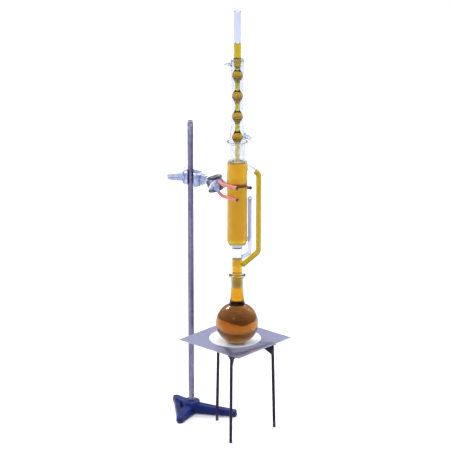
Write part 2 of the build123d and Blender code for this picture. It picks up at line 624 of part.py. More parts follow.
def siphon_route():
    """The siphon's centre line: out of the chamber's foot, up, over and down into the stem."""
    rise_at, fall_at = SIDE_AT + SIPHON_SPREAD, SIDE_AT - SIPHON_SPREAD
    with BuildLine(mode=Mode.PRIVATE) as route:
        FilletPolyline(
            polar(CHAMBER_R - SIPHON_RUN_IN, rise_at, SIPHON_IN_Z),
            polar(SIPHON_R, rise_at, SIPHON_RISE_Z),
            polar(SIPHON_R, rise_at, SIPHON_TOP_Z),
            polar(SIPHON_R, fall_at, SIPHON_TOP_Z),
            polar(SIPHON_R, fall_at, SIPHON_FALL_Z),
            polar(STEM_R - SIPHON_RUN_OUT, fall_at, SIPHON_OUT_Z),
            radius=SIPHON_BEND,
        )
    return route.wire()


VAPOUR_BORE_D = VAPOUR_D - 2 * VAPOUR_WALL
SIPHON_BORE_D = SIPHON_D - 2 * SIPHON_WALL

with BuildPart() as extractor_body:
    extractor_outside()
    chamber_inside(0, SHOULDER_Z, Mode.SUBTRACT)
    turn(
        [
            (0, SHOULDER_Z),
            (CONE_TIP_D / 2 + JOINT_FIT, SHOULDER_Z),
            (CONE_TIP_D / 2 + JOINT_FIT, SOCKET_Z - CONE_L),
            (CONE_TOP_D / 2 + JOINT_FIT, SOCKET_Z),
            (0, SOCKET_Z),
        ],
        Mode.SUBTRACT,
    )
    stem_inside(0, CHAMBER_FLOOR_Z, Mode.SUBTRACT)
    tube_along(vapour_route(), VAPOUR_BORE_D, Mode.SUBTRACT)
    tube_along(siphon_route(), SIPHON_BORE_D, Mode.SUBTRACT)
finish(extractor_body, "extractor_body")

with BuildPart() as vapour_tube:
    tube_along(vapour_route(), VAPOUR_D)
    tube_along(vapour_route(), VAPOUR_BORE_D, Mode.SUBTRACT)
    extractor_outside(Mode.SUBTRACT)
finish(vapour_tube, "vapour_tube")

with BuildPart() as siphon_tube:
    tube_along(siphon_route(), SIPHON_D)
    tube_along(siphon_route(), SIPHON_BORE_D, Mode.SUBTRACT)
    extractor_outside(Mode.SUBTRACT)
finish(siphon_tube, "siphon_tube")


def thimble_shape(grow=0.0, mode=Mode.ADD):
    """The paper thimble: a cup open at the top, grown all round by a gap."""
    outer, inner = THIMBLE_D / 2 + grow, THIMBLE_D / 2 - THIMBLE_WALL - grow
    foot, floor = THIMBLE_Z - grow, THIMBLE_Z + THIMBLE_WALL + grow
    top = THIMBLE_TOP_Z + grow
    turn([(0, foot), (outer, foot), (outer, top), (inner, top), (inner, floor), (0, floor)], mode)


with BuildPart() as thimble:
    thimble_shape()
finish(thimble, "thimble")

with BuildPart() as chamber_liquid:
    chamber_inside(FILL_GAP, CHAMBER_LIQUID_Z)
    thimble_shape(FILL_GAP, Mode.SUBTRACT)
finish(chamber_liquid, "chamber_liquid")

with BuildPart() as stem_liquid:
    stem_inside(FILL_GAP, STEM_LIQUID_Z)
finish(stem_liquid, "stem_liquid")

with BuildPart() as vapour_liquid:
    tube_along(vapour_route(), VAPOUR_BORE_D - 2 * FILL_GAP)
    split(bisect_by=Plane.XY.offset(VAPOUR_LIQUID_Z), keep=Keep.BOTTOM)
    stem_inside(0, CHAMBER_FLOOR_Z, Mode.SUBTRACT)
finish(vapour_liquid, "vapour_liquid")

# ---------------------------------------------------------------- condenser
def inner_tube(inset, low, high, mode=Mode.ADD):
    """The condenser's bulbed inner tube between two heights, inset from its outer face."""
    neck, wide = NECK_D / 2 - inset, TOP_TUBE_D / 2 - inset
    outline = [(0, low), (neck, low), (neck, SHOULDER_LOW_Z), (wide, SHOULDER_HIGH_Z)]
    turn([*outline, (wide, high), (0, high)], mode)
    with Locations(*[STACK + Vector(0, 0, height) for height in BULB_HEIGHTS]):
        Sphere(BULB_D / 2 - inset, mode=mode)


def jacket_shape(inset, top, foot, mode=Mode.ADD):
    """The water jacket's shape, inset from its outer face, between its foot and a top."""
    wide, narrow, flare = CONE_HEAD_D / 2 - inset, JACKET_D / 2 - inset, FLARE_D / 2 - inset
    outline = [(0, foot), (wide, foot), (flare, FLARE_Z), (narrow, FLARE_TOP_Z)]
    shoulder = [(narrow, top - JACKET_SHOULDER), (narrow - JACKET_SHOULDER, top), (0, top)]
    turn(outline + shoulder, mode)


def nozzle_place(height, angle, drop):
    """A water nozzle's starting place and direction, inside the jacket."""
    start = STACK + Vector(0, 0, height) + heading(angle) * (JACKET_D / 2 - JACKET_WALL - CUT)
    return start, heading(angle, drop)


def make_nozzle(name, place, root_d, hose_d):
    """Write one water nozzle: a tapered root, then a straight end for the hose, bored through."""
    start, way = place
    level = Vector(way.X, way.Y, 0)
    length = (NOZZLE_REACH - (start - STACK).dot(level.normalized())) / level.length
    hose_start = start + way * (length - HOSE_L)
    with BuildPart() as nozzle:
        for where, diameter in ((start, root_d), (hose_start, hose_d)):
            with BuildSketch(Plane(origin=where, z_dir=way)):
                Circle(diameter / 2)
        loft()
        round_bar(hose_start, way, HOSE_L, hose_d)
        round_bar(start, way, length, NOZZLE_BORE_D, Mode.SUBTRACT)
        jacket_shape(0, JACKET_TOP_Z, CONE_HEAD_Z, Mode.SUBTRACT)
    finish(nozzle, name)


UPPER_PLACE = nozzle_place(UPPER_NOZZLE_Z, SIDE_AT + 180, UPPER_NOZZLE_DROP)
LOWER_PLACE = nozzle_place(LOWER_NOZZLE_Z, SIDE_AT, LOWER_NOZZLE_DROP)

with BuildPart() as condenser_jacket:
    jacket_shape(0, JACKET_TOP_Z, CONE_HEAD_Z)
    jacket_shape(JACKET_WALL, JACKET_TOP_Z - JACKET_WALL, CONE_HEAD_Z, Mode.SUBTRACT)
    inner_tube(0, DRIP_Z, TOP_Z, Mode.SUBTRACT)
    for start, way in (UPPER_PLACE, LOWER_PLACE):
        round_bar(start, way, NOZZLE_REACH, NOZZLE_BORE_D, Mode.SUBTRACT)
finish(condenser_jacket, "condenser_jacket")

with BuildPart() as condenser_tube:
    inner_tube(0, DRIP_Z, TOP_Z)
    inner_tube(TUBE_WALL, DRIP_Z, TOP_Z, Mode.SUBTRACT)
finish(condenser_tube, "condenser_tube")

with BuildPart() as condenser_liquid:
    inner_tube(TUBE_WALL + FILL_GAP, DRIP_Z, CONDENSER_LIQUID_Z)
finish(condenser_liquid, "condenser_liquid")

with BuildPart() as ground_cone:
    head, top, tip = CONE_HEAD_D / 2, CONE_TOP_D / 2, CONE_TIP_D / 2
    cone_tip_z = SOCKET_Z - CONE_L
    seal_top = SEAL_Z + SEAL_T
    seal_r = tip + (top - tip) * (SEAL_Z - cone_tip_z) / CONE_L - CONE_WALL
    turn([(0, cone_tip_z), (tip, cone_tip_z), (top, SOCKET_Z), (head, CONE_HEAD_Z), (0, CONE_HEAD_Z)])
    turn([(0, cone_tip_z), (tip - CONE_WALL, cone_tip_z), (seal_r, SEAL_Z), (0, SEAL_Z)], Mode.SUBTRACT)
    turn(
        [(0, seal_top), (seal_r, seal_top), (head - JACKET_WALL, CONE_HEAD_Z), (0, CONE_HEAD_Z)],
        Mode.SUBTRACT,
    )
    inner_tube(0, DRIP_Z, TOP_Z, Mode.SUBTRACT)
finish(ground_cone, "ground_cone")

make_nozzle("water_nozzle_upper", UPPER_PLACE, UPPER_NOZZLE_ROOT_D, UPPER_NOZZLE_TIP_D)
make_nozzle("water_nozzle_lower", LOWER_PLACE, LOWER_NOZZLE_ROOT_D, LOWER_NOZZLE_D)
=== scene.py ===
"""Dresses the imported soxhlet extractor: glass, liquids, clamp, stand, tripod and wire gauze.

Lengths are in metres, +Z is up and the bench is at Z = 0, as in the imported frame.
"""

import logging
import math
from dataclasses import dataclass, field
from enum import Enum

import bmesh
import bpy
import numpy as np
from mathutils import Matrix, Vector


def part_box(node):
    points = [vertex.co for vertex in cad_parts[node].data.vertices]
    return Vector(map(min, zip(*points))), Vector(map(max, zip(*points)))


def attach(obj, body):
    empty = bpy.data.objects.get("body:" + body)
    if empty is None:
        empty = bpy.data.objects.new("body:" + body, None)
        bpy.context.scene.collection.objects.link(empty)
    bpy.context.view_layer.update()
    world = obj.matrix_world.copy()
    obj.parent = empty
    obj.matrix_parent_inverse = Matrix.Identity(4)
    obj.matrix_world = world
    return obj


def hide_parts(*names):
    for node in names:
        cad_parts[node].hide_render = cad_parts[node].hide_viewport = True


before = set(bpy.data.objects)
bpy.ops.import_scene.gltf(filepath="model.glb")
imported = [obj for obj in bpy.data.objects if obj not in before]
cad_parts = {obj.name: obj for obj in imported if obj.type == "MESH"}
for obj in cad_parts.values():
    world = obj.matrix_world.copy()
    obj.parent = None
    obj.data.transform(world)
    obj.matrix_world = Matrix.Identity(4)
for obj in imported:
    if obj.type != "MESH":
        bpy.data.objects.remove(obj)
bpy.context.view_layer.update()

MM = 0.001
SIDE_ANGLE = math.radians(41.84)  # where the side tubes and water nozzles stand round the stack
OVERLAP = 0.2 * MM  # how far a liquid reaches into the glass that holds it, so that no air lies between
Value = float | tuple | bpy.types.NodeSocket  # what a node's socket takes

logging.basicConfig(level=logging.INFO, format="%(name)s: %(message)s")
log = logging.getLogger("extractor")


# ------------------------------------------------------------------ shapes
def rounded(points: np.ndarray, radius: float, steps: int = 7) -> np.ndarray:
    """Round the inner corners of an open outline with circular arcs.

    At a corner with incoming direction a and outgoing direction b, n is the part of b square to a,
    and the arc is start + r (sin s) a + r (1 - cos s) n, with s from 0 to the turn between a and b.

    Args:
        points: Corners in order, two or three numbers each.
        radius: Largest arc radius; short runs get a smaller one.
        steps: Points on each arc.

    Returns:
        The outline with every inner corner replaced by its arc.
    """
    corners = np.asarray(points, float)
    before = corners[1:-1] - corners[:-2]
    after = corners[2:] - corners[1:-1]
    length_in = np.linalg.norm(before, axis=1, keepdims=True)
    length_out = np.linalg.norm(after, axis=1, keepdims=True)
    way_in, way_out = before / length_in, after / length_out
    cosine = np.clip((way_in * way_out).sum(1, keepdims=True), -1, 1)
    turned = np.maximum(np.arccos(cosine), 1e-6)
    normal = (way_out - cosine * way_in) / np.sin(turned)
    room = 0.48 * np.minimum(length_in, length_out) / np.tan(turned / 2)
    arc_radius = np.minimum(radius, room)
    start = corners[1:-1] - way_in * arc_radius * np.tan(turned / 2)
    angle = np.linspace(0, 1, steps)[None, :, None] * turned[:, None, :]
    arcs = (
        start[:, None, :]
        + arc_radius[:, None, :] * np.sin(angle) * way_in[:, None, :]
        + arc_radius[:, None, :] * (1 - np.cos(angle)) * normal[:, None, :]
    )
    return np.vstack([corners[:1], arcs.reshape(-1, corners.shape[1]), corners[-1:]])


def evenly(path: np.ndarray, step: float) -> np.ndarray:
    """Points along a path at most a step apart, found by straight interpolation on its length.

    Args:
        path: Places in order.
        step: Largest distance between neighbours.

    Returns:
        The closer places, the given ones among them.
    """
    length = np.concatenate([[0], np.cumsum(np.linalg.norm(np.diff(path, axis=0), axis=1))])
    count = max(2, int(math.ceil(length[-1] / step)) + 1)
    where = np.unique(np.concatenate([np.linspace(0, length[-1], count), length]))
    return np.stack([np.interp(where, length, path[:, axis]) for axis in range(path.shape[1])], axis=1)


def grid_faces(rows: int, columns: int, closed_rows: bool, closed_columns: bool) -> np.ndarray:
    """Corner numbers of the quads of a grid of points, row by row, wrapped where it is closed.

    Args:
        rows: Points down the grid.
        columns: Points across it.
        closed_rows: Whether the last row joins the first.
        closed_columns: Whether the last column joins the first.

    Returns:
        Four corner numbers for each quad.
    """
    index = np.arange(rows * columns).reshape(rows, columns)
    if closed_columns:
        index = np.concatenate([index, index[:, :1]], axis=1)
    if closed_rows:
        index = np.concatenate([index, index[:1]], axis=0)
    quads = np.stack([index[:-1, :-1], index[:-1, 1:], index[1:, 1:], index[1:, :-1]], axis=-1)
    return quads.reshape(-1, 4)


def make_object(name: str, points: np.ndarray, faces: np.ndarray, sharp: float = 40.0) -> bpy.types.Object:
    """A mesh object from points and quads, with doubles merged and normals facing out.

    Args:
        name: The piece's name.
        points: Corners, three numbers each.
        faces: Corner numbers of each quad.
        sharp: Edges that turn by more than this many degrees stay sharp.

    Returns:
        The object, at the origin, linked to the scene.
    """
    mesh = bpy.data.meshes.new(name)
    mesh.from_pydata(points.reshape(-1, 3).tolist(), [], faces.tolist())
    work = bmesh.new()
    work.from_mesh(mesh)
    bmesh.ops.remove_doubles(work, verts=work.verts, dist=1e-7)
    bmesh.ops.dissolve_degenerate(work, edges=work.edges, dist=1e-8)
    bmesh.ops.recalc_face_normals(work, faces=work.faces)
    work.to_mesh(mesh)
    work.free()
    mesh.shade_smooth()
    mesh.set_sharp_from_angle(angle=math.radians(sharp))
    made = bpy.data.objects.new(name, mesh)
    bpy.context.scene.collection.objects.link(made)
    return made


def lathe(
    name: str,
    outline: np.ndarray,
    centre: Vector,
    ring: bool = False,
    around: int = 72,
    sharp: float = 40.0,
) -> bpy.types.Object:
    """Turn an outline of radius and height about an upright axis.

    A point at radius r, height z and angle t is (cx + r cos t, cy + r sin t, z).

    Args:
        name: The piece's name.
        outline: Rows of radius and height.
        centre: A place on the axis.
        ring: Whether the outline closes on itself, off the axis.
        around: Points round the axis.
        sharp: Edges that turn by more than this many degrees stay sharp.

    Returns:
        The turned piece.
    """
    angle = np.linspace(0, 2 * np.pi, around, endpoint=False)
    radius, height = outline[:, :1], outline[:, 1:]
    grid = np.stack(
        [
            centre.x + radius * np.cos(angle),
            centre.y + radius * np.sin(angle),
            np.broadcast_to(height, (len(outline), around)),
        ],
        axis=-1,
    )
    return make_object(name, grid, grid_faces(len(outline), around, ring, True), sharp)


def path_frames(path: np.ndarray) -> tuple[np.ndarray, np.ndarray]:
    """Two directions square to a path at each of its points, carried along with the least twist.

    Each pair is the last one with its part along the new tangent taken away, made unit length again.

    Args:
        path: Places in order.

    Returns:
        The first and the second direction at each place.
    """
    tangent = np.gradient(path, axis=0)
    tangent /= np.linalg.norm(tangent, axis=1, keepdims=True)
    first = np.cross(tangent[0], [0.31, 0.52, 0.79])
    sides = [first / np.linalg.norm(first)]
    for way in tangent[1:]:
        side = sides[-1] - way * (sides[-1] @ way)
        sides.append(side / np.linalg.norm(side))
    side = np.array(sides)
    return side, np.cross(tangent, side)


def carry(
    name: str,
    path: np.ndarray,
    radius: np.ndarray | float,
    bore: np.ndarray | float = 0.0,
    around: int = 28,
) -> bpy.types.Object:
    """Carry a round section along a path, solid or with a bore.

    A point at place p of the path and angle t is p + r (cos t) u + r (sin t) v, with u and v square to
    the path. A bored tube runs out along the outer radius and back along the bore.

    Args:
        name: The piece's name.
        path: Centre points.
        radius: Outer radius, the same all along or one for each point.
        bore: Inner radius in the same way, or 0 for a solid bar.
        around: Points round the section.

    Returns:
        The carried piece.
    """
    side, other = path_frames(path)
    outer = np.broadcast_to(np.asarray(radius, float), (len(path),))
    if np.any(np.asarray(bore) > 0):
        inner = np.broadcast_to(np.asarray(bore, float), (len(path),))
        path, side, other = (np.concatenate([a, a[::-1]]) for a in (path, side, other))
        outer = np.concatenate([outer, inner[::-1]])
    else:
        path, side, other = (np.concatenate([a[:1], a, a[-1:]]) for a in (path, side, other))
        outer = np.concatenate([[0], outer, [0]])
    angle = np.linspace(0, 2 * np.pi, around, endpoint=False)[None, :, None]
    spread = np.cos(angle) * side[:, None, :] + np.sin(angle) * other[:, None, :]
    grid = path[:, None, :] + outer[:, None, None] * spread
    hollow = bool(np.any(np.asarray(bore) > 0))
    return make_object(name, grid, grid_faces(len(path), around, hollow, True))


def soften(node: str, name: str, width: float, sharp: float = 35.0) -> bpy.types.Object:
    """A copy of a CAD node with its doubles merged and its edges broken by a small bevel.

    Args:
        node: The CAD node that the copy stands for.
        name: The new piece's name.
        width: Width of the bevel.
        sharp: Edges that turn by more than this many degrees get the bevel.

    Returns:
        The copy, linked to the scene.
    """
    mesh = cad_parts[node].data.copy()
    mesh.name = name
    work = bmesh.new()
    work.from_mesh(mesh)
    bmesh.ops.remove_doubles(work, verts=work.verts, dist=1e-6)
    bmesh.ops.dissolve_limit(work, angle_limit=math.radians(0.5), verts=work.verts, edges=work.edges)
    work.to_mesh(mesh)
    work.free()
    mesh.shade_smooth()
    mesh.set_sharp_from_angle(angle=math.radians(sharp))
    made = bpy.data.objects.new(name, mesh)
    bpy.context.scene.collection.objects.link(made)
    bevel = made.modifiers.new("broken_edges", "BEVEL")
    bevel.width = width
    bevel.segments = 3
    bevel.limit_method = "ANGLE"
    bevel.angle_limit = math.radians(sharp)
    return made


def centre_of(node: str) -> Vector:
    """The middle of a CAD node's box."""
    low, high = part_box(node)
    return (low + high) / 2


def level_way(angle: float) -> Vector:
    """A level unit direction at a plan angle."""
    return Vector((math.cos(angle), math.sin(angle), 0))


def place(piece: bpy.types.Object, body: str, slot: str, *nodes: str) -> None:
    """Give a finished piece its body, hide the CAD nodes it stands for, and report it.

    Args:
        piece: The finished piece.
        body: The body it rides on.
        slot: Its material slot in the record; not used.
        *nodes: The CAD nodes it stands for.
    """
    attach(piece, body)
    if nodes:
        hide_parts(*nodes)
    log.info("%s rides on %s: %d faces", piece.name, body, len(piece.data.polygons))


# ------------------------------------------------------------------ finishes
class NodeSheet:
    """Adds nodes to one node tree and feeds their sockets."""

    def __init__(self, tree: bpy.types.NodeTree) -> None:
        """Start on a tree, emptied."""
        self.tree = tree
        tree.nodes.clear()

    def add(self, kind: str, feeds: dict | None = None, **settings: object) -> bpy.types.Node:
        """Add a node.

        Args:
            kind: The node's type name.
            feeds: Input name or number to a socket to link, or a value to set.
            **settings: Attributes of the node.

        Returns:
            The new node.
        """
        node = self.tree.nodes.new(kind)
        for key, value in settings.items():
            setattr(node, key, value)
        for key, value in (feeds or {}).items():
            if isinstance(value, bpy.types.NodeSocket):
                self.tree.links.new(value, node.inputs[key])
            else:
                node.inputs[key].default_value = value
        return node

    def height(self) -> bpy.types.NodeSocket:
        """Height above the bench, from Object coordinates."""
        place_at = self.add("ShaderNodeTexCoord").outputs["Object"]
        return self.add("ShaderNodeSeparateXYZ", {0: place_at}).outputs["Z"]

    def noise(
        self, scale: Value, detail: float = 4.0, stretch: tuple | None = None
    ) -> bpy.types.NodeSocket:
        """A noise value on Object coordinates.

        Args:
            scale: How fine it is.
            detail: How many finer layers it has.
            stretch: A scale on each axis, or nothing.

        Returns:
            The noise's value.
        """
        place_at = self.add("ShaderNodeTexCoord").outputs["Object"]
        if stretch:
            place_at = self.add("ShaderNodeMapping", {"Vector": place_at, "Scale": stretch}).outputs[0]
        feeds = {"Vector": place_at, "Scale": scale, "Detail": detail}
        return self.add("ShaderNodeTexNoise", feeds).outputs[0]

    def ramp(self, value: bpy.types.NodeSocket, low: float, high: float) -> bpy.types.NodeSocket:
        """A value spread from low..high to 0..1 and held there."""
        feeds = {0: value, 1: low, 2: high}
        return self.add("ShaderNodeMapRange", feeds, clamp=True).outputs[0]

    def mix(self, share: Value, first: Value, second: Value) -> bpy.types.NodeSocket:
        """Two colours mixed by a share.

        Args:
            share: How much of the second.
            first: A colour.
            second: A colour.

        Returns:
            The mixed colour.
        """
        node = self.add("ShaderNodeMix", data_type="RGBA")
        for socket, value in ((node.inputs[0], share), (node.inputs[6], first), (node.inputs[7], second)):
            if isinstance(value, bpy.types.NodeSocket):
                self.tree.links.new(value, socket)
            else:
                socket.default_value = value
        return node.outputs[2]

    def sums(self, operation: str, *values: Value) -> bpy.types.NodeSocket:
        """A Math node on one to three values."""
        return self.add("ShaderNodeMath", dict(enumerate(values)), operation=operation).outputs[0]


def new_group(
    name: str, inputs: dict[str, float], outputs: tuple[str, ...]
) -> tuple[bpy.types.NodeTree, NodeSheet, bpy.types.Node, bpy.types.Node]:
    """An empty shader node group with named sockets.

    Args:
        name: The group's name.
        inputs: Input names with their default values.
        outputs: Output names, each a value.

    Returns:
        The group, its sheet, its input node and its output node.
    """
    group = bpy.data.node_groups.new(name, "ShaderNodeTree")
    for label, value in inputs.items():
        socket = group.interface.new_socket(label, in_out="INPUT", socket_type="NodeSocketFloat")
        socket.default_value = value
    for label in outputs:
        group.interface.new_socket(label, in_out="OUTPUT", socket_type="NodeSocketFloat")
    sheet = NodeSheet(group)
    entry = sheet.add("NodeGroupInput")
    leave = sheet.add("NodeGroupOutput")
    return group, sheet, entry, leave


class Effect(Enum):
    """Shared surface effects, each a node group built once."""

    GRAIN = "fine_grain"
    WEAR = "rubbed_edges"
    FILM = "thin_film"
    DUST = "settled_dust"

    def group(self) -> bpy.types.NodeTree:
        """The effect's node group, built on first use."""
        return bpy.data.node_groups.get(self.value) or EFFECT_MAKERS[self]()


def make_grain() -> bpy.types.NodeTree:
    """Fine grain: two noises, one four times finer, summed into a height.

    Returns:
        The effect's node group.
    """
    group, sheet, entry, leave = new_group("fine_grain", {"Scale": 400.0, "Depth": 1.0}, ("Height",))
    coarse = sheet.noise(entry.outputs["Scale"], 3.0)
    fine = sheet.noise(sheet.sums("MULTIPLY", entry.outputs["Scale"], 4.0), 2.0)
    both = sheet.sums("MULTIPLY_ADD", fine, 0.4, coarse)
    sheet.tree.links.new(sheet.sums("MULTIPLY", both, entry.outputs["Depth"]), leave.inputs[0])
    return group


def make_wear() -> bpy.types.NodeTree:
    """Rubbed edges: where the surface is convex and a noise is high.

    Returns:
        The effect's node group.
    """
    group, sheet, entry, leave = new_group("rubbed_edges", {"Scale": 60.0, "Amount": 0.5}, ("Mask",))
    point = sheet.add("ShaderNodeNewGeometry").outputs["Pointiness"]
    edge = sheet.ramp(point, 0.5, 0.58)
    patch = sheet.ramp(sheet.noise(entry.outputs["Scale"], 6.0), 0.42, 0.68)
    worn = sheet.sums("MULTIPLY", sheet.sums("MULTIPLY", edge, patch), entry.outputs["Amount"])
    sheet.tree.links.new(worn, leave.inputs[0])
    return group


def make_film() -> bpy.types.NodeTree:
    """A thin film in soft patches, as fingers and drying water leave on glass and metal.

    Returns:
        The effect's node group.
    """
    group, sheet, entry, leave = new_group("thin_film", {"Scale": 30.0, "Amount": 0.3}, ("Mask",))
    patch = sheet.ramp(sheet.noise(entry.outputs["Scale"], 5.0), 0.4, 0.7)
    streak = sheet.ramp(sheet.noise(90.0, 3.0, (1.0, 1.0, 0.15)), 0.4, 0.75)
    both = sheet.sums("MULTIPLY", sheet.sums("MAXIMUM", patch, streak), entry.outputs["Amount"])
    sheet.tree.links.new(both, leave.inputs[0])
    return group


def make_dust() -> bpy.types.NodeTree:
    """Dust on upward faces, broken up by a fine noise.

    Returns:
        The effect's node group.
    """
    group, sheet, entry, leave = new_group("settled_dust", {"Scale": 300.0, "Amount": 0.3}, ("Mask",))
    normal = sheet.add("ShaderNodeNewGeometry").outputs["Normal"]
    upward = sheet.ramp(sheet.add("ShaderNodeSeparateXYZ", {0: normal}).outputs["Z"], 0.3, 1.0)
    speck = sheet.ramp(sheet.noise(entry.outputs["Scale"], 5.0), 0.35, 0.7)
    both = sheet.sums("MULTIPLY", sheet.sums("MULTIPLY", upward, speck), entry.outputs["Amount"])
    sheet.tree.links.new(both, leave.inputs[0])
    return group


EFFECT_MAKERS = {
    Effect.GRAIN: make_grain,
    Effect.WEAR: make_wear,
    Effect.FILM: make_film,
    Effect.DUST: make_dust,
}


class Surface:
    """A material under way: its sheet and its Principled shader."""

    def __init__(self, name: str) -> None:
        """Start a material with an empty tree, a shader and an output."""
        self.material = bpy.data.materials.new(name)
        self.material.use_nodes = True
        self.sheet = NodeSheet(self.material.node_tree)
        self.shader = self.sheet.add("ShaderNodeBsdfPrincipled")
        self.output = self.sheet.add("ShaderNodeOutputMaterial", {"Surface": self.shader.outputs[0]})

    def put(self, socket: str, value: Value) -> None:
        """Link or set one of the shader's sockets.

        Args:
            socket: The socket's name.
            value: A socket to link, or a value.
        """
        if isinstance(value, bpy.types.NodeSocket):
            self.sheet.tree.links.new(value, self.shader.inputs[socket])
        else:
            self.shader.inputs[socket].default_value = value

    def effect(self, which: Effect, **values: float) -> bpy.types.NodeSocket:
        """Place a shared effect with its own values and give its output.

        Args:
            which: The effect.
            **values: Its inputs by name.

        Returns:
            Its output.
        """
        node = self.sheet.add("ShaderNodeGroup", node_tree=which.group())
        for label, value in values.items():
            node.inputs[label].default_value = value
        return node.outputs[0]

    def bump(self, height: bpy.types.NodeSocket, strength: float, distance: float) -> None:
        """Feed a height to the shader's normal."""
        feeds = {"Strength": strength, "Distance": distance, "Height": height}
        self.put("Normal", self.sheet.add("ShaderNodeBump", feeds).outputs[0])


@dataclass(frozen=True)
class Paint:
    """Stove paint or enamel: two near colours, rubbed edges, settled dust and a light orange peel."""

    name: str
    colour: tuple
    shade: tuple
    bare: tuple = (0.35, 0.35, 0.38, 1)
    roughness: float = 0.3
    wear: float = 0.8
    dust: float = 0.25
    grain: float = 500.0
    depth: float = 0.0002
    coat: float = 0.2
    shine: float = 0.3

    def build(self) -> bpy.types.Material:
        """Build the material's nodes.

        Returns:
            The material.
        """
        work = Surface(self.name)
        sheet = work.sheet
        tone = sheet.mix(sheet.ramp(sheet.noise(35.0, 5.0), 0.35, 0.65), self.colour, self.shade)
        worn = work.effect(Effect.WEAR, Scale=90.0, Amount=self.wear)
        dust = work.effect(Effect.DUST, Scale=350.0, Amount=self.dust)
        tone = sheet.mix(worn, tone, self.bare)
        work.put("Base Color", sheet.mix(dust, tone, (0.55, 0.55, 0.58, 1)))
        rough = sheet.sums("MULTIPLY_ADD", dust, 0.5, self.roughness)
        work.put("Roughness", rough)
        work.put("Coat Weight", self.coat)
        work.put("Specular IOR Level", self.shine)
        work.put("Coat Roughness", 0.12)
        work.bump(work.effect(Effect.GRAIN, Scale=self.grain, Depth=1.0), 0.35, self.depth)
        return work.material


@dataclass(frozen=True)
class Metal:
    """Bare or plated metal: streaks along the working direction, patches of tarnish, fine grain."""

    name: str
    colour: tuple
    tarnish: tuple
    roughness: float = 0.3
    spread: float = 0.25
    streaks: tuple = (1.0, 1.0, 1.0)
    tarnished: float = 0.5
    depth: float = 0.00008
    wear: float = 0.6

    def build(self) -> bpy.types.Material:
        """Build the material's nodes.

        Returns:
            The material.
        """
        work = Surface(self.name)
        sheet = work.sheet
        streak = sheet.noise(260.0, 4.0, self.streaks)
        patch = work.effect(Effect.FILM, Scale=45.0, Amount=self.tarnished)
        wear = work.effect(Effect.WEAR, Scale=120.0, Amount=self.wear)
        tone = sheet.mix(sheet.ramp(streak, 0.3, 0.7), self.colour, self.tarnish)
        tone = sheet.mix(patch, tone, self.tarnish)
        work.put("Base Color", sheet.mix(wear, tone, (0.9, 0.9, 0.92, 1)))
        work.put("Metallic", 1.0)
        rough = sheet.sums("MULTIPLY_ADD", streak, self.spread, self.roughness)
        work.put("Roughness", sheet.sums("MULTIPLY_ADD", patch, 0.25, rough))
        grain = work.effect(Effect.GRAIN, Scale=900.0, Depth=0.5)
        work.bump(sheet.sums("ADD", streak, grain), 0.3, self.depth)
        return work.material


@dataclass(frozen=True)
class Matte:
    """Rubber, ceramic fibre or soaked paper: a fleck over a base colour, with a soft relief."""

    name: str
    colour: tuple
    fleck: tuple
    roughness: float = 0.7
    fleck_scale: float = 250.0
    fleck_low: float = 0.5
    depth: float = 0.0003
    dust: float = 0.15
    least: float = 1.0  # how much of it hides what is behind, away from its flecks

    def build(self) -> bpy.types.Material:
        """Build the material's nodes.

        Returns:
            The material.
        """
        work = Surface(self.name)
        sheet = work.sheet
        fleck = sheet.ramp(sheet.noise(self.fleck_scale, 6.0), self.fleck_low, self.fleck_low + 0.2)
        tone = sheet.mix(fleck, self.colour, self.fleck)
        dust = work.effect(Effect.DUST, Scale=260.0, Amount=self.dust)
        work.put("Base Color", sheet.mix(dust, tone, (0.7, 0.7, 0.7, 1)))
        work.put("Roughness", sheet.sums("MULTIPLY_ADD", fleck, 0.15, self.roughness))
        if self.least < 1.0:
            work.put("Alpha", sheet.sums("MULTIPLY_ADD", fleck, 0.1, self.least))
        work.bump(work.effect(Effect.GRAIN, Scale=self.fleck_scale * 2, Depth=1.0), 0.5, self.depth)
        return work.material


@dataclass(frozen=True)
class Glass:
    """Drawn laboratory glass: a faint tint that deepens where it is seen edge on, a little as a longer
    path through the wall would, but mostly as painted shade for the dark edges that refraction gives, with
    a thin film.
    """

    name: str
    tint: tuple = (0.83, 0.86, 0.94, 1)
    # edge: the dark colour mixed in at grazing view, painted shade on the glass's edges
    edge: tuple = (0.22, 0.24, 0.4, 1)
    roughness: float = 0.02
    shine: float = 0.28
    wet: tuple = ()  # spans of height over which a ground joint is wetted, and so clear

    def build(self) -> bpy.types.Material:
        """Build the material's nodes.

        Returns:
            The material.
        """
        work = Surface(self.name)
        sheet = work.sheet
        # Layer Weight's facing darkens the tint towards grazing view: painted shade along every glass edge
        facing = sheet.add("ShaderNodeLayerWeight", {"Blend": 0.5}).outputs["Facing"]
        rim = sheet.sums("POWER", sheet.ramp(facing, 0.45, 1.0), 1.6)
        tint = self.tint
        for low, high in self.wet:
            height = sheet.height()
            below = sheet.sums("SUBTRACT", 1.0, sheet.ramp(height, high, high + MM))
            within = sheet.sums("MULTIPLY", sheet.ramp(height, low - MM, low), below)
            tint = sheet.mix(within, tint, (0.985, 0.985, 0.99, 1))
        work.put("Base Color", sheet.mix(rim, tint, self.edge))
        film = work.effect(Effect.FILM, Scale=28.0, Amount=0.05)
        work.put("Roughness", sheet.sums("ADD", film, self.roughness))
        work.put("IOR", 1.47)
        work.put("Specular Tint", (self.shine, self.shine, self.shine, 1))
        work.put("Transmission Weight", 1.0)
        work.bump(work.effect(Effect.GRAIN, Scale=60.0, Depth=1.0), 0.05, 0.0002)
        return work.material


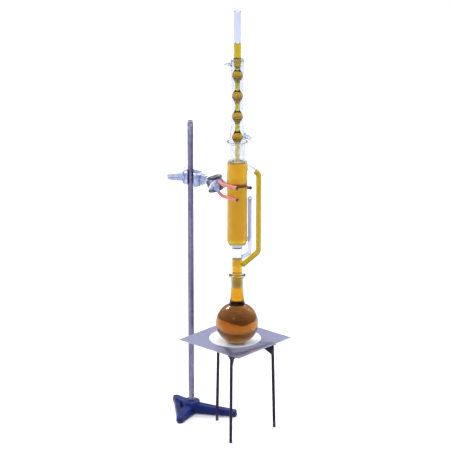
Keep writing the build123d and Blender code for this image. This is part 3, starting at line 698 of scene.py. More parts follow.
@dataclass(frozen=True)
class Liquid:
    """A clear coloured liquid, whose colour comes from how far light goes through it."""

    name: str
    colour: tuple
    density: float
    surface: tuple = (1.0, 0.98, 0.93, 1)
    neck_tint: tuple = (0.97, 0.94, 0.86, 1)
    neck_from: float = 0.0  # height at which the neck's tint starts, where the liquid is seen through less

    def build(self) -> bpy.types.Material:
        """Build the material's nodes.

        Returns:
            The material.
        """
        work = Surface(self.name)
        share = work.sheet.ramp(work.sheet.noise(40.0, 2.0), 0.3, 0.7)
        if self.neck_from:
            share = work.sheet.ramp(work.sheet.height(), self.neck_from, self.neck_from + 8 * MM)
        work.put("Base Color", work.sheet.mix(share, self.surface, self.neck_tint))
        work.put("Roughness", 0.0)
        work.put("IOR", 1.36)
        work.put("Specular Tint", (0.08, 0.07, 0.02, 1))
        work.put("Transmission Weight", 1.0)
        volume = work.sheet.add("ShaderNodeVolumeAbsorption")
        volume.inputs["Color"].default_value = self.colour
        volume.inputs["Density"].default_value = self.density
        work.sheet.tree.links.new(volume.outputs[0], work.output.inputs["Volume"])
        return work.material


BUILT: dict[str, bpy.types.Material] = {}
WET_JOINTS = ((268 * MM, 344 * MM), (564 * MM, 604 * MM))  # the flask's neck, and the upper socket


class Finish(Enum):
    """Every finish on the object."""

    BASE_BLUE = Paint(
        "base_blue", (0.003, 0.008, 0.085, 1), (0.008, 0.02, 0.14, 1), (0.1, 0.14, 0.4, 1),
        0.45, 0.4, 0.03, coat=0.05, shine=0.1,
    )
    # near-black on the clamp's head: painted shade standing in for the shadow round the jaw pivots
    JAW_DARK = Paint("jaw_dark", (0.012, 0.01, 0.03, 1), (0.03, 0.03, 0.07, 1), roughness=0.35, wear=0.9)
    LEG_DARK = Paint(
        "leg_dark", (0.004, 0.002, 0.012, 1), (0.01, 0.006, 0.026, 1), (0.1, 0.1, 0.14, 1),
        0.5, dust=0.05, coat=0.0, shine=0.15,
    )
    ROD = Metal("rod_plating", (0.21, 0.2, 0.32, 1), (0.11, 0.1, 0.2, 1), 0.28, 0.2, (1.0, 1.0, 0.05))
    CAST = Metal(
        "cast_alloy", (0.5, 0.55, 0.75, 1), (0.2, 0.24, 0.45, 1), 0.32, 0.3, tarnished=0.7, depth=0.0003
    )
    BRIGHT = Metal("bright_plating", (0.8, 0.81, 0.88, 1), (0.5, 0.52, 0.62, 1), 0.16, 0.15)
    WIRE = Metal(
        "woven_wire", (0.44, 0.45, 0.6, 1), (0.4, 0.41, 0.55, 1), 0.45, 0.08, tarnished=0.05, wear=0.0
    )
    SLEEVE = Matte("sleeve_rubber", (0.56, 0.13, 0.12, 1), (0.7, 0.24, 0.22, 1), 0.45, 300.0, 0.5, 0.0002)
    BLACK = Matte("foot_rubber", (0.012, 0.011, 0.014, 1), (0.03, 0.03, 0.035, 1), 0.6)
    CERAMIC = Matte(
        "ceramic_fibre", (0.8, 0.81, 0.84, 1), (0.66, 0.67, 0.72, 1), 0.85, 180.0, 0.52, 0.0006, 0.0
    )
    PAPER = Matte(
        "soaked_paper", (0.8, 0.5, 0.06, 1), (0.85, 0.56, 0.1, 1), 0.5, 600.0, 0.5, 0.0002, 0.0, 0.05
    )
    # each glass darkens to its second colour at grazing view: painted shade on the edges
    GLASS = Glass("drawn_glass", wet=WET_JOINTS)
    THIN_GLASS = Glass("thin_glass", (0.79, 0.82, 0.925, 1), (0.16, 0.18, 0.42, 1))
    SIPHON_GLASS = Glass("siphon_glass", (0.66, 0.69, 0.81, 1), (0.16, 0.18, 0.42, 1))
    GROUND = Matte(
        "ground_frost", (0.62, 0.66, 0.82, 1), (0.78, 0.8, 0.92, 1), 0.4, 500.0, 0.5, 0.0001, 0.0, 0.16
    )
    GOLD = Liquid("golden_in_chamber", (0.93, 0.815, 0.0, 1), 170.0)
    THIN_GOLD = Liquid("golden_in_tubes", (0.86, 0.77, 0.0, 1), 580.0)
    STEM_GOLD = Liquid("golden_in_stem", (0.87, 0.74, 0.0, 1), 290.0)
    TUBE_GOLD = Liquid("golden_in_condenser", (0.97, 0.88, 0.0, 1), 420.0)
    BROWN = Liquid(
        "brown_in_flask", (0.94, 0.862, 0.0, 1), 225.0, neck_tint=(0.66, 0.42, 0.15, 1), neck_from=266 * MM
    )


    def material(self) -> bpy.types.Material:
        """The finish's material, built on first use.

        Returns:
            The material.
        """
        if self.name not in BUILT:
            BUILT[self.name] = self.value.build()
        return BUILT[self.name]

    def on(self, piece: bpy.types.Object) -> None:
        """Put the finish on a piece, in its material slots.

        Args:
            piece: The piece.
        """
        if not piece.material_slots:
            piece.data.materials.append(self.material())
        for slot in piece.material_slots:
            slot.material = self.material()


# ------------------------------------------------------------------ stand
@dataclass
class Stand:
    """The cast base on its rubber feet, and the rod that stands in it."""

    edge: float = 0.9 * MM
    rod_break: float = 0.8 * MM
    foot_round: float = 1.2 * MM

    def build(self) -> None:
        """Make the base and the feet from their CAD copies, and turn the rod."""
        self.base = soften("stand_base", "cast_base", self.edge)
        place(self.base, "stand", "blue_enamel", "stand_base")
        low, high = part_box("stand_rod")
        middle = (low + high) / 2
        radius = (high.x - low.x) / 2
        side = np.linspace(low.z, high.z - self.rod_break, 24)
        outline = np.vstack(
            [
                [[0, low.z], [radius, low.z]],
                np.stack([np.full(24, radius), side], 1),
                [[radius - self.rod_break, high.z], [0, high.z]],
            ]
        )
        self.rod = lathe("round_rod", outline, middle, around=64)
        place(self.rod, "rod", "rod_steel", "stand_rod")
        self.feet = soften("base_feet", "rubber_feet", self.foot_round)
        place(self.feet, "stand", "black_rubber", "base_feet")

    def dress(self) -> None:
        """Enamel on the base, dull plating on the rod, rubber on the feet."""
        Finish.BASE_BLUE.on(self.base)
        Finish.ROD.on(self.rod)
        Finish.BLACK.on(self.feet)


# ------------------------------------------------------------------ boss head and clamp
@dataclass
class BossHead:
    """The boss head with its flat-handled rod screw and its lever screw, and the clamp's arm."""

    cast_edge: float = 0.7 * MM
    fine_edge: float = 0.35 * MM
    bodies: dict[str, tuple[str, str, str]] = field(
        default_factory=lambda: {
            "boss_body": ("boss_casting", "boss", "clamp_alloy"),
            "boss_rod_screw": ("flat_handle_screw", "rod_screw", "clamp_alloy"),
            "boss_arm_screw": ("lever_screw", "arm_screw", "bright_steel"),
            "clamp_arm": ("arm_bar", "arm", "clamp_alloy"),
            "swivel_nut": ("swivel_nut", "arm", "bright_steel"),
        }
    )

    def build(self) -> None:
        """Break the edges of every casting and turned part."""
        self.pieces = {}
        for node, (name, body, slot) in self.bodies.items():
            piece_name = name if name != node else name + "_bright"
            width = self.cast_edge if slot == "clamp_alloy" else self.fine_edge
            piece = soften(node, piece_name, width)
            place(piece, body, slot, node)
            self.pieces[node] = piece

    def dress(self) -> None:
        """Cast alloy on the castings and bright plating on the screw and the nut."""
        for node, piece in self.pieces.items():
            bright = self.bodies[node][2] == "bright_steel"
            (Finish.BRIGHT if bright else Finish.CAST).on(piece)


class Side(Enum):
    """The clamp's two jaws, with the way each one lies from the head."""

    FRONT = -1
    BACK = 1

    @property
    def tag(self) -> str:
        """The jaw's name as its nodes and bodies have it."""
        return self.name.lower()


@dataclass
class Clamp:
    """The head with its pivot pins, two jaws with sleeved fingers, and their wing screws."""

    edge: float = 0.35 * MM
    sleeve_lip: float = 0.5 * MM

    def build(self) -> None:
        """Make the head, then each jaw with all that rides on it."""
        self.head = soften("clamp_head", "head_block", self.edge)
        place(self.head, "head", "dark_jaw", "clamp_head")
        self.bright = [soften("jaw_pins", "pivot_pins", self.edge)]
        place(self.bright[0], "head", "bright_steel", "jaw_pins")
        self.jaws, self.sleeves, self.caps = [], [], []
        for side in Side:
            self.build_jaw(side)

    def build_jaw(self, side: Side) -> None:
        """One jaw, its sleeves and caps, its washer and its wing screw.

        Args:
            side: Which jaw.
        """
        tag = side.tag
        jaw = soften(f"jaw_{tag}", f"{tag}_jaw", self.edge, 28.0)
        place(jaw, f"jaw_{tag}_body", "clamp_alloy", f"jaw_{tag}")
        self.jaws.append(jaw)
        for kind, body, name in (
            ("jaw_washer_", "washer_", "washer"),
            ("wing_screw_", "wing_", "wing_nut"),
        ):
            piece = soften(kind + tag, f"{tag}_{name}", self.edge * (0.6 if name == "washer" else 1.4))
            place(piece, body + tag, "bright_steel", kind + tag)
            self.bright.append(piece)
        for part, kept, slot in (
            ("finger_sleeves_", self.sleeves, "red_sleeve"),
            ("finger_caps_", self.caps, "black_rubber"),
        ):
            piece = soften(part + tag, f"{tag}_{part.split('_')[1]}", self.sleeve_lip, 30.0)
            place(piece, f"jaw_{tag}_body", slot, part + tag)
            kept.append(piece)

    def dress(self) -> None:
        """Near-black on the head as painted shade for its shadowed pivot area, alloy jaws, red rubber on
        the sleeves, bright plating on the screws.
        """
        Finish.JAW_DARK.on(self.head)
        for piece in self.jaws:
            Finish.CAST.on(piece)
        for piece in self.bright:
            Finish.BRIGHT.on(piece)
        for piece in self.sleeves:
            Finish.SLEEVE.on(piece)
        for piece in self.caps:
            Finish.BLACK.on(piece)


# ------------------------------------------------------------------ tripod and gauze
@dataclass
class Tripod:
    """The painted triangle on three round legs."""

    edge: float = 0.6 * MM
    leg_radius: float = 3.0 * MM

    def build(self) -> None:
        """Break the top's edges and carry each leg between its two ends."""
        self.pieces = [soften("tripod_top", "triangle_top", self.edge)]
        place(self.pieces[0], "tripod", "black_iron", "tripod_top")
        for number in (1, 2, 3):
            node = f"tripod_leg_{number}"
            foot, head = self.leg_ends(node)
            steps = np.linspace(0, 1, 12)[:, None]
            path = np.array(foot) * (1 - steps) + np.array(head) * steps
            leg = carry(f"round_leg_{number}", path, self.leg_radius, around=40)
            self.level_ends(leg, foot, head)
            place(leg, "tripod", "black_iron", node)
            self.pieces.append(leg)

    @staticmethod
    def leg_ends(node: str) -> tuple[Vector, Vector]:
        """The middle of a leg's lowest and highest faces, from its CAD mesh.

        Args:
            node: The leg's CAD node.

        Returns:
            The foot and the head.
        """
        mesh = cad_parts[node].data
        points = np.empty(len(mesh.vertices) * 3)
        mesh.vertices.foreach_get("co", points)
        points = points.reshape(-1, 3)
        ends = []
        for level in (points[:, 2].min(), points[:, 2].max()):
            ring = points[np.abs(points[:, 2] - level) < 0.01 * MM]
            ends.append(Vector((ring.min(0) + ring.max(0)) / 2))
        return ends[0], ends[1]

    @staticmethod
    def level_ends(leg: bpy.types.Object, foot: Vector, head: Vector) -> None:
        """Slide each end's points along the leg until they lie level with the foot and the head.

        A point at an end moves by (level - z) / (slope of the leg in z) times the leg's direction.

        Args:
            leg: The carried leg.
            foot: Middle of its lowest face.
            head: Middle of its highest face.
        """
        along = np.array(head - foot)
        along /= np.linalg.norm(along)
        points = np.empty(len(leg.data.vertices) * 3)
        leg.data.vertices.foreach_get("co", points)
        points = points.reshape(-1, 3)
        share = (points - np.array(foot)) @ along / (head - foot).length
        level = np.where(share < 0.02, foot.z, np.where(share > 0.98, head.z, points[:, 2]))
        points += ((level - points[:, 2]) / along[2])[:, None] * along
        leg.data.vertices.foreach_set("co", points.ravel())
        leg.data.update()

    def dress(self) -> None:
        """Dark paint all over."""
        for piece in self.pieces:
            Finish.LEG_DARK.on(piece)


@dataclass
class WireGauze:
    """A square of woven wire with a hem, and the ceramic disc pressed into its middle."""

    pitch: float = 1.6 * MM
    wire: float = 0.3 * MM
    swing: float = 0.2 * MM
    hem: float = 1.6 * MM
    disc_round: float = 0.6 * MM

    def build(self) -> None:
        """Weave the two layers of wire, fold the hem and turn the disc."""
        low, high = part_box("gauze_sheet")
        self.woven = [self.weave("wires_across", low, high, 0), self.weave("wires_along", low, high, 1)]
        place(self.woven[0], "gauze", "gauze_wire", "gauze_sheet")
        place(self.woven[1], "gauze", "gauze_wire", "gauze_sheet")
        self.edge = self.fold_hem(low, high)
        place(self.edge, "gauze", "gauze_wire", "gauze_sheet")
        low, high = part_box("ceramic_centre")
        radius, curve = (high.x - low.x) / 2, self.disc_round
        turn = np.linspace(0, np.pi / 2, 6)[:, None]
        foot = np.hstack([radius - curve + curve * np.sin(turn), low.z + curve - curve * np.cos(turn)])
        head = np.hstack([radius - curve + curve * np.cos(turn), high.z - curve + curve * np.sin(turn)])
        inner = np.linspace(radius - 1.5 * curve, 0, 14)[:, None]
        outline = np.vstack(
            [
                np.hstack([inner[::-1], np.full_like(inner, low.z)]),
                foot,
                head,
                np.hstack([inner, np.full_like(inner, high.z)]),
            ]
        )
        self.disc = lathe("ceramic_disc", outline, (low + high) / 2, around=128)
        place(self.disc, "gauze", "ceramic", "ceramic_centre")

    def weave(self, name: str, low: Vector, high: Vector, axis: int) -> bpy.types.Object:
        """One layer of wires, each rising and falling over the wires of the other layer.

        Wire k lies at its own place across, and its height at length s is the middle plus or minus
        the swing times cos(pi s / pitch), the sign changing from wire to wire. The section is a
        four-sided ring of the wire's radius.

        Args:
            name: The piece's name.
            low: The sheet's lowest corner.
            high: The sheet's highest corner.
            axis: 0 for wires along X, 1 for wires along Y.

        Returns:
            The layer as one mesh.
        """
        other = 1 - axis
        inset = self.wire + 0.1 * MM
        width = high[other] - low[other] - 2 * inset
        count = int(width / self.pitch)
        across = low[other] + inset + (np.arange(count) + 0.5) * width / count
        steps = 2 * count + 1
        along = np.linspace(low[axis] + inset, high[axis] - inset, steps)
        sign = np.where((np.arange(count) + axis) % 2 == 0, 1.0, -1.0)[:, None]
        phase = np.cos(np.pi * (np.arange(steps) - 1) / 2)[None, :]
        height = (low.z + high.z) / 2 + self.swing * sign * phase
        angle = np.pi / 4 + np.arange(4) * np.pi / 2
        ring_across = (self.wire * np.cos(angle))[None, None, :]
        ring_up = (self.wire * np.sin(angle))[None, None, :]
        grid = np.empty((count, steps, 4, 3))
        grid[..., axis] = along[None, :, None]
        grid[..., other] = across[:, None, None] + ring_across
        grid[..., 2] = height[:, :, None] + ring_up
        one = grid_faces(steps, 4, False, True)
        caps = np.array([[0, 1, 2, 3], [steps * 4 - 1, steps * 4 - 2, steps * 4 - 3, steps * 4 - 4]])
        one = np.vstack([one, caps])
        faces = (one[None] + (np.arange(count) * steps * 4)[:, None, None]).reshape(-1, 4)
        return make_object(name, grid, faces, 60.0)

    def fold_hem(self, low: Vector, high: Vector) -> bpy.types.Object:
        """The folded wire edge: four flat strips in one ring, as thick as the sheet.

        The ring's section is a flat loop of four points, carried round the square's four corners.

        Args:
            low: The sheet's lowest corner.
            high: The sheet's highest corner.

        Returns:
            The hem.
        """
        outer = np.array([[low.x, low.y], [high.x, low.y], [high.x, high.y], [low.x, high.y]])
        middle = outer.mean(0)
        inner = outer + np.sign(middle - outer) * self.hem
        thin = 0.18 * (high.z - low.z)
        foot, head = low.z + thin, high.z - thin
        loops = [(outer, foot), (outer, head), (inner, head), (inner, foot)]
        grid = np.stack([np.hstack([ring, np.full((4, 1), z)]) for ring, z in loops], axis=0)
        return make_object("folded_hem", grid, grid_faces(4, 4, True, True), 30.0)

    def dress(self) -> None:
        """Dull wire on the weave and the hem, white fibre on the disc."""
        for piece in (*self.woven, self.edge):
            Finish.WIRE.on(piece)
        Finish.CERAMIC.on(self.disc)


# ------------------------------------------------------------------ glass and liquid
def liquid_top(side: float, top: float, *dips: tuple[float, float]) -> np.ndarray:
    """The outline of a liquid's top, from the glass in to the axis, a little hollow.

    Args:
        side: Radius where the liquid meets the glass.
        top: Height there.
        *dips: How far in and how far down each further point lies; the last one reaches the axis.

    Returns:
        Rows of radius and height.
    """
    return np.array([[side - inward, top - down] for inward, down in ((0.0, 0.0), *dips)])


@dataclass
class Flask:
    """The round flask, blown from one tube, with its liquid."""

    wall: float = 2.0 * MM
    waist_radius: float = 12.25 * MM
    waist_height: float = 304.0 * MM
    root_radius: float = 17.0 * MM
    joint_top: float = 9.5 * MM
    joint_tip: float = 8.2 * MM
    joint_length: float = 26.0 * MM
    rim_radius: float = 17.0 * MM
    rim_thick: float = 3.5 * MM
    collar_foot: float = 14 * MM
    collar_waist: float = 9 * MM
    curve_gap: float = 2.5 * MM

    def ball(self, radius: float, root: float, centre: float, count: int = 60) -> np.ndarray:
        """The ball's outline from its foot up to where it is as wide as the root.

        At angle a it is at radius R sin a and height c - R cos a.

        Args:
            radius: The ball's radius R.
            root: Radius at which it stops.
            centre: Height c of its middle.
            count: Points on it.

        Returns:
            Rows of radius and height.
        """
        last = math.pi - math.asin(root / radius)
        angle = np.linspace(0, last, count)
        return np.stack([radius * np.sin(angle), centre - radius * np.cos(angle)], 1)

    @staticmethod
    def sweep_up(start: np.ndarray, end: tuple[float, float], count: int = 14) -> np.ndarray:
        """A neck's curve from a place on the ball to its waist, level-sided at the top.

        It is a quadratic curve whose middle handle stands under the end, so it ends upright.

        Args:
            start: Radius and height where it leaves the ball.
            end: Radius and height of the waist.
            count: Points on it, the first left out.

        Returns:
            Rows of radius and height.
        """
        share = np.linspace(0, 1, count)[1:, None]
        handle = np.array([end[0], start[1] + 0.3 * (end[1] - start[1])])
        return (1 - share) ** 2 * start + 2 * share * (1 - share) * handle + share**2 * np.array(end)

    def build(self) -> None:
        """Turn the glass as one closed wall, and the liquid to fill it and reach into the glass."""
        low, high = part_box("flask")
        axis = (low + high) / 2
        radius = (high.x - low.x) / 2
        centre = low.z + radius
        rim = high.z
        tip = rim - self.joint_length
        outer_ball = self.ball(radius, self.root_radius, centre)
        neck = self.sweep_up(outer_ball[-1], (self.waist_radius, self.waist_height))
        collar = [
            (self.waist_radius + 0.2 * MM, rim - self.collar_foot),
            (self.waist_radius + 1.2 * MM, rim - self.collar_waist),
            (self.rim_radius - 1.5 * MM, rim - self.rim_thick - 1.2 * MM),
            (self.rim_radius, rim - self.rim_thick),
            (self.rim_radius, rim - 0.4 * MM),
            (self.rim_radius - 0.6 * MM, rim),
        ]
        outer = np.vstack([outer_ball, neck, rounded(np.array([neck[-1], *collar]), 2.0 * MM, 5)[1:]])
        bore = self.waist_radius - self.wall
        inner_ball = self.ball(radius - self.wall, self.root_radius - self.wall, centre)
        inner_neck = self.sweep_up(inner_ball[-1], (bore, tip - self.curve_gap))
        joint = [(self.joint_tip, tip), (self.joint_top, rim - 0.3 * MM), (self.joint_top + 0.5 * MM, rim)]
        inner = np.vstack([inner_ball, inner_neck, joint])
        self.glass = lathe("blown_flask", np.vstack([outer, inner[::-1]]), axis, around=112, sharp=50)
        place(self.glass, "flask_body", "clear_glass", "flask")
        fill_ball = self.ball(radius - self.wall + OVERLAP, self.root_radius - self.wall + OVERLAP, centre)
        fill_neck = self.sweep_up(fill_ball[-1], (bore + OVERLAP, tip - self.curve_gap))
        side = self.joint_tip + OVERLAP - 0.1 * MM
        dips = ((0.1 * side, 0.35 * MM), (0.5 * side, 0.7 * MM), (side, 0.7 * MM))
        fill = np.vstack([fill_ball, fill_neck, liquid_top(side, tip - 0.3 * MM, *dips)])
        self.liquid = lathe("flask_filling", fill, axis, around=112, sharp=60)
        place(self.liquid, "flask_body", "brown_liquid", "flask_liquid")

    def dress(self) -> None:
        """Clear glass, and the brown liquid inside it."""
        Finish.GLASS.on(self.glass)
        Finish.BROWN.on(self.liquid)


@dataclass
class Extractor:
    """The extraction chamber on its stem, with vapour tube, siphon, thimble and the liquid in them."""

    stem_radius: float = 10.5 * MM
    stem_wall: float = 1.5 * MM
    chamber_wall: float = 1.6 * MM
    joint_top: float = 9.6 * MM
    joint_tip: float = 8.3 * MM
    joint_length: float = 26.0 * MM
    floor_height: float = 384.0 * MM
    bend_height: float = 397.0 * MM
    shoulder_height: float = 556.0 * MM
    foot_radius: float = 19.0 * MM
    socket_foot: float = 562.0 * MM
    cone_tip: float = 15.6 * MM
    cone_top: float = 17.35 * MM
    cone_length: float = 35.0 * MM
    floor_thick: float = 6.5 * MM

    vapour_radius: float = 5.5 * MM
    vapour_wall: float = 1.2 * MM
    vapour_out: float = 41.8 * MM
    vapour_low: tuple[float, float] = (346.0 * MM, 374.0 * MM)
    vapour_high: tuple[float, float] = (534.0 * MM, 548.0 * MM)
    vapour_bend: float = 11.0 * MM
    siphon_radius: float = 4.0 * MM
    siphon_wall: float = 1.1 * MM
    siphon_out: float = 25.5 * MM
    siphon_spread: float = math.radians(14)
    siphon_heights: tuple = (395.0 * MM, 401.0 * MM, 484.0 * MM, 374.0 * MM, 362.0 * MM)
    siphon_bend: float = 8.0 * MM
    joint_shoulder: float = 5.5 * MM

    def wall_outline(self, radius: float, tip: float, rim: float) -> tuple[np.ndarray, np.ndarray]:
        """The wall's outline, up the outside and down through the chamber to its floor.

        Args:
            radius: The chamber's outer radius.
            tip: Height of the stem's tip.
            rim: Height of the socket's rim.

        Returns:
            The outside and the inside.
        """
        stem = self.stem_radius
        hollow = radius - self.chamber_wall
        outside = rounded(
            np.array(
                [
                    (self.joint_tip, tip),
                    (self.joint_top, tip + self.joint_length),
                    (stem, tip + self.joint_length + self.joint_shoulder),
                    (stem, self.floor_height),
                    (radius - 3.5 * MM, self.floor_height + 3.5 * MM),
                    (radius, self.bend_height),
                    (radius, self.shoulder_height),
                    (self.foot_radius, self.socket_foot),
                    (radius + 0.25 * MM, rim - 2 * MM),
                    (radius + 0.25 * MM, rim - 0.5 * MM),
                    (radius - 0.6 * MM, rim),
                ]
            ),
            9 * MM,
            9,
        )
        floor = self.floor_height + self.floor_thick
        inside = rounded(
            np.array(
                [
                    (self.cone_top + 0.3 * MM, rim),
                    (self.cone_top, rim - 0.4 * MM),
                    (self.cone_tip, rim - self.cone_length),
                    (self.cone_tip, self.socket_foot),
                    (hollow, self.shoulder_height),
                    (hollow, self.bend_height + 3.2 * MM),
                    (hollow * 0.75, floor + 1.0 * MM),
                    (0, floor),
                ]
            ),
            6 * MM,
            7,
        )
        return outside, inside

    def build(self) -> None:
        """Turn the body, carry the two side tubes, and fill them."""
        low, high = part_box("extractor_body")
        self.axis = (low + high) / 2
        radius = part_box("chamber_liquid")[1].x - self.axis.x + self.chamber_wall + 0.05 * MM
        outside, inside = self.wall_outline(radius, low.z, high.z)
        bore = self.stem_radius - self.stem_wall
        under = rounded(
            np.array(
                [
                    (0, self.floor_height),
                    (bore, self.floor_height),
                    (bore, low.z + self.joint_length + self.joint_shoulder),
                    (self.joint_top - self.stem_wall - 0.2 * MM, low.z + self.joint_length),
                    (self.joint_tip - self.stem_wall - 0.2 * MM, low.z),
                    (self.joint_tip, low.z),
                ]
            ),
            3 * MM,
            7,
        )
        loop = np.vstack([under[:-1], outside, inside])
        self.body = lathe("chamber_glass", loop, self.axis, around=112, sharp=50)
        self.body_under = under
        place(self.body, "head", "clear_glass", "extractor_body")
        self.build_tubes(radius)
        self.build_filling(radius, inside)

    def at(self, radius: float, angle: float, height: float) -> list[float]:
        """A place round the stack's axis."""
        return [self.axis.x + radius * math.cos(angle), self.axis.y + radius * math.sin(angle), height]

    def build_tubes(self, radius: float) -> None:
        """Carry the vapour tube and the siphon along their bends, ending inside the glass they join.

        Args:
            radius: The chamber's outer radius.
        """
        low, up = self.vapour_low
        down, out = self.vapour_high
        lean_in = (up - low) / (self.vapour_out - self.stem_radius)
        lean_out = (out - down) / (self.vapour_out - radius)
        root_in, root_out = self.stem_radius - 0.6 * MM, radius - 0.6 * MM
        corners = [
            self.at(root_in, SIDE_ANGLE, up - lean_in * (self.vapour_out - root_in)),
            self.at(self.vapour_out, SIDE_ANGLE, up),
            self.at(self.vapour_out, SIDE_ANGLE, down),
            self.at(root_out, SIDE_ANGLE, down + lean_out * (self.vapour_out - root_out)),
        ]
        self.vapour_path = evenly(rounded(np.array(corners), self.vapour_bend, 14), 6 * MM)
        inner = self.vapour_radius - self.vapour_wall
        self.vapour = carry("vapour_pipe", self.vapour_path, self.vapour_radius, inner, 32)
        place(self.vapour, "head", "clear_glass", "vapour_tube")
        rise, fall = SIDE_ANGLE + self.siphon_spread, SIDE_ANGLE - self.siphon_spread
        start, bend, top, last, end = self.siphon_heights
        out_at = self.siphon_out
        corners = [
            self.at(radius - 0.8 * MM, rise, start + 0.8 * MM),
            self.at(out_at, rise, bend),
            self.at(out_at, rise, top),
            self.at(out_at, fall, top),
            self.at(out_at, fall, last),
            self.at(self.stem_radius - 0.6 * MM, fall, end + 0.6 * MM),
        ]
        path = evenly(rounded(np.array(corners), self.siphon_bend, 14), 6 * MM)
        self.siphon = carry(
            "siphon_pipe", path, self.siphon_radius, self.siphon_radius - self.siphon_wall, 28
        )
        place(self.siphon, "head", "clear_glass", "siphon_tube")

    def build_filling(self, radius: float, inside: np.ndarray) -> None:
        """Fill the chamber round its thimble, the stem's foot and the vapour tube.

        Args:
            radius: The chamber's outer radius.
            inside: The chamber's inside, from the rim down.
        """
        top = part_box("chamber_liquid")[1].z
        inner = inside[::-1]
        inner = inner[inner[:, 1] < top - 0.6 * MM]
        grown = inner + np.where(inner[:, :1] > 1 * MM, OVERLAP, 0.0) * np.array([[1.0, 0.0]])
        grown[:, 1] -= np.where(inner[:, 0] < 0.7 * radius, OVERLAP, 0.0)
        side = grown[-1, 0]
        dips = ((1.2 * MM, 0.5 * MM), (3 * MM, 0.7 * MM), (side, 0.7 * MM))
        fill = np.vstack([grown, liquid_top(side, top, *dips)])
        self.liquid = lathe("chamber_filling", fill, self.axis, around=112, sharp=60)
        place(self.liquid, "head", "gold_liquid", "chamber_liquid")
        foot, head = (corner.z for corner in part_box("stem_liquid"))
        stem = self.body_under[::-1][1:]
        stem = stem[stem[:, 1] < head - 0.5 * MM]
        stem = stem + np.array([[OVERLAP, 0.0]])
        side = stem[-1, 0]
        surface = liquid_top(side, head, (1 * MM, 0.5 * MM), (side, 0.6 * MM))
        column = np.vstack([[[0, foot]], stem, surface])
        self.stem_fill = lathe("stem_filling", column, self.axis, around=64, sharp=60)
        place(self.stem_fill, "head", "gold_liquid", "stem_liquid")
        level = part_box("vapour_liquid")[1].z
        path = self.vapour_path[self.vapour_path[:, 2] < level]
        reach = self.vapour_radius - self.vapour_wall + OVERLAP
        self.vapour_fill = carry("vapour_filling", path, reach, 0.0, 28)
        place(self.vapour_fill, "head", "gold_liquid", "vapour_liquid")
        low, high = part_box("thimble")
        outer = (high.x - low.x) / 2
        wall = 1.0 * MM
        hollow, floor = outer - wall, low.z + wall
        cup = [(0, low.z), (outer, low.z), (outer, high.z), (hollow, high.z), (hollow, floor), (0, floor)]
        outline = rounded(np.array(cup), 3 * MM, 7)
        self.thimble = lathe("paper_thimble", outline, self.axis, around=80, sharp=50)
        place(self.thimble, "head", "paper", "thimble")

    def dress(self) -> None:
        """Clear glass, golden liquid and soaked paper."""
        for piece in (self.body, self.vapour):
            Finish.GLASS.on(piece)
        Finish.SIPHON_GLASS.on(self.siphon)
        Finish.GOLD.on(self.liquid)
        Finish.STEM_GOLD.on(self.stem_fill)
        Finish.THIN_GOLD.on(self.vapour_fill)
        Finish.PAPER.on(self.thimble)


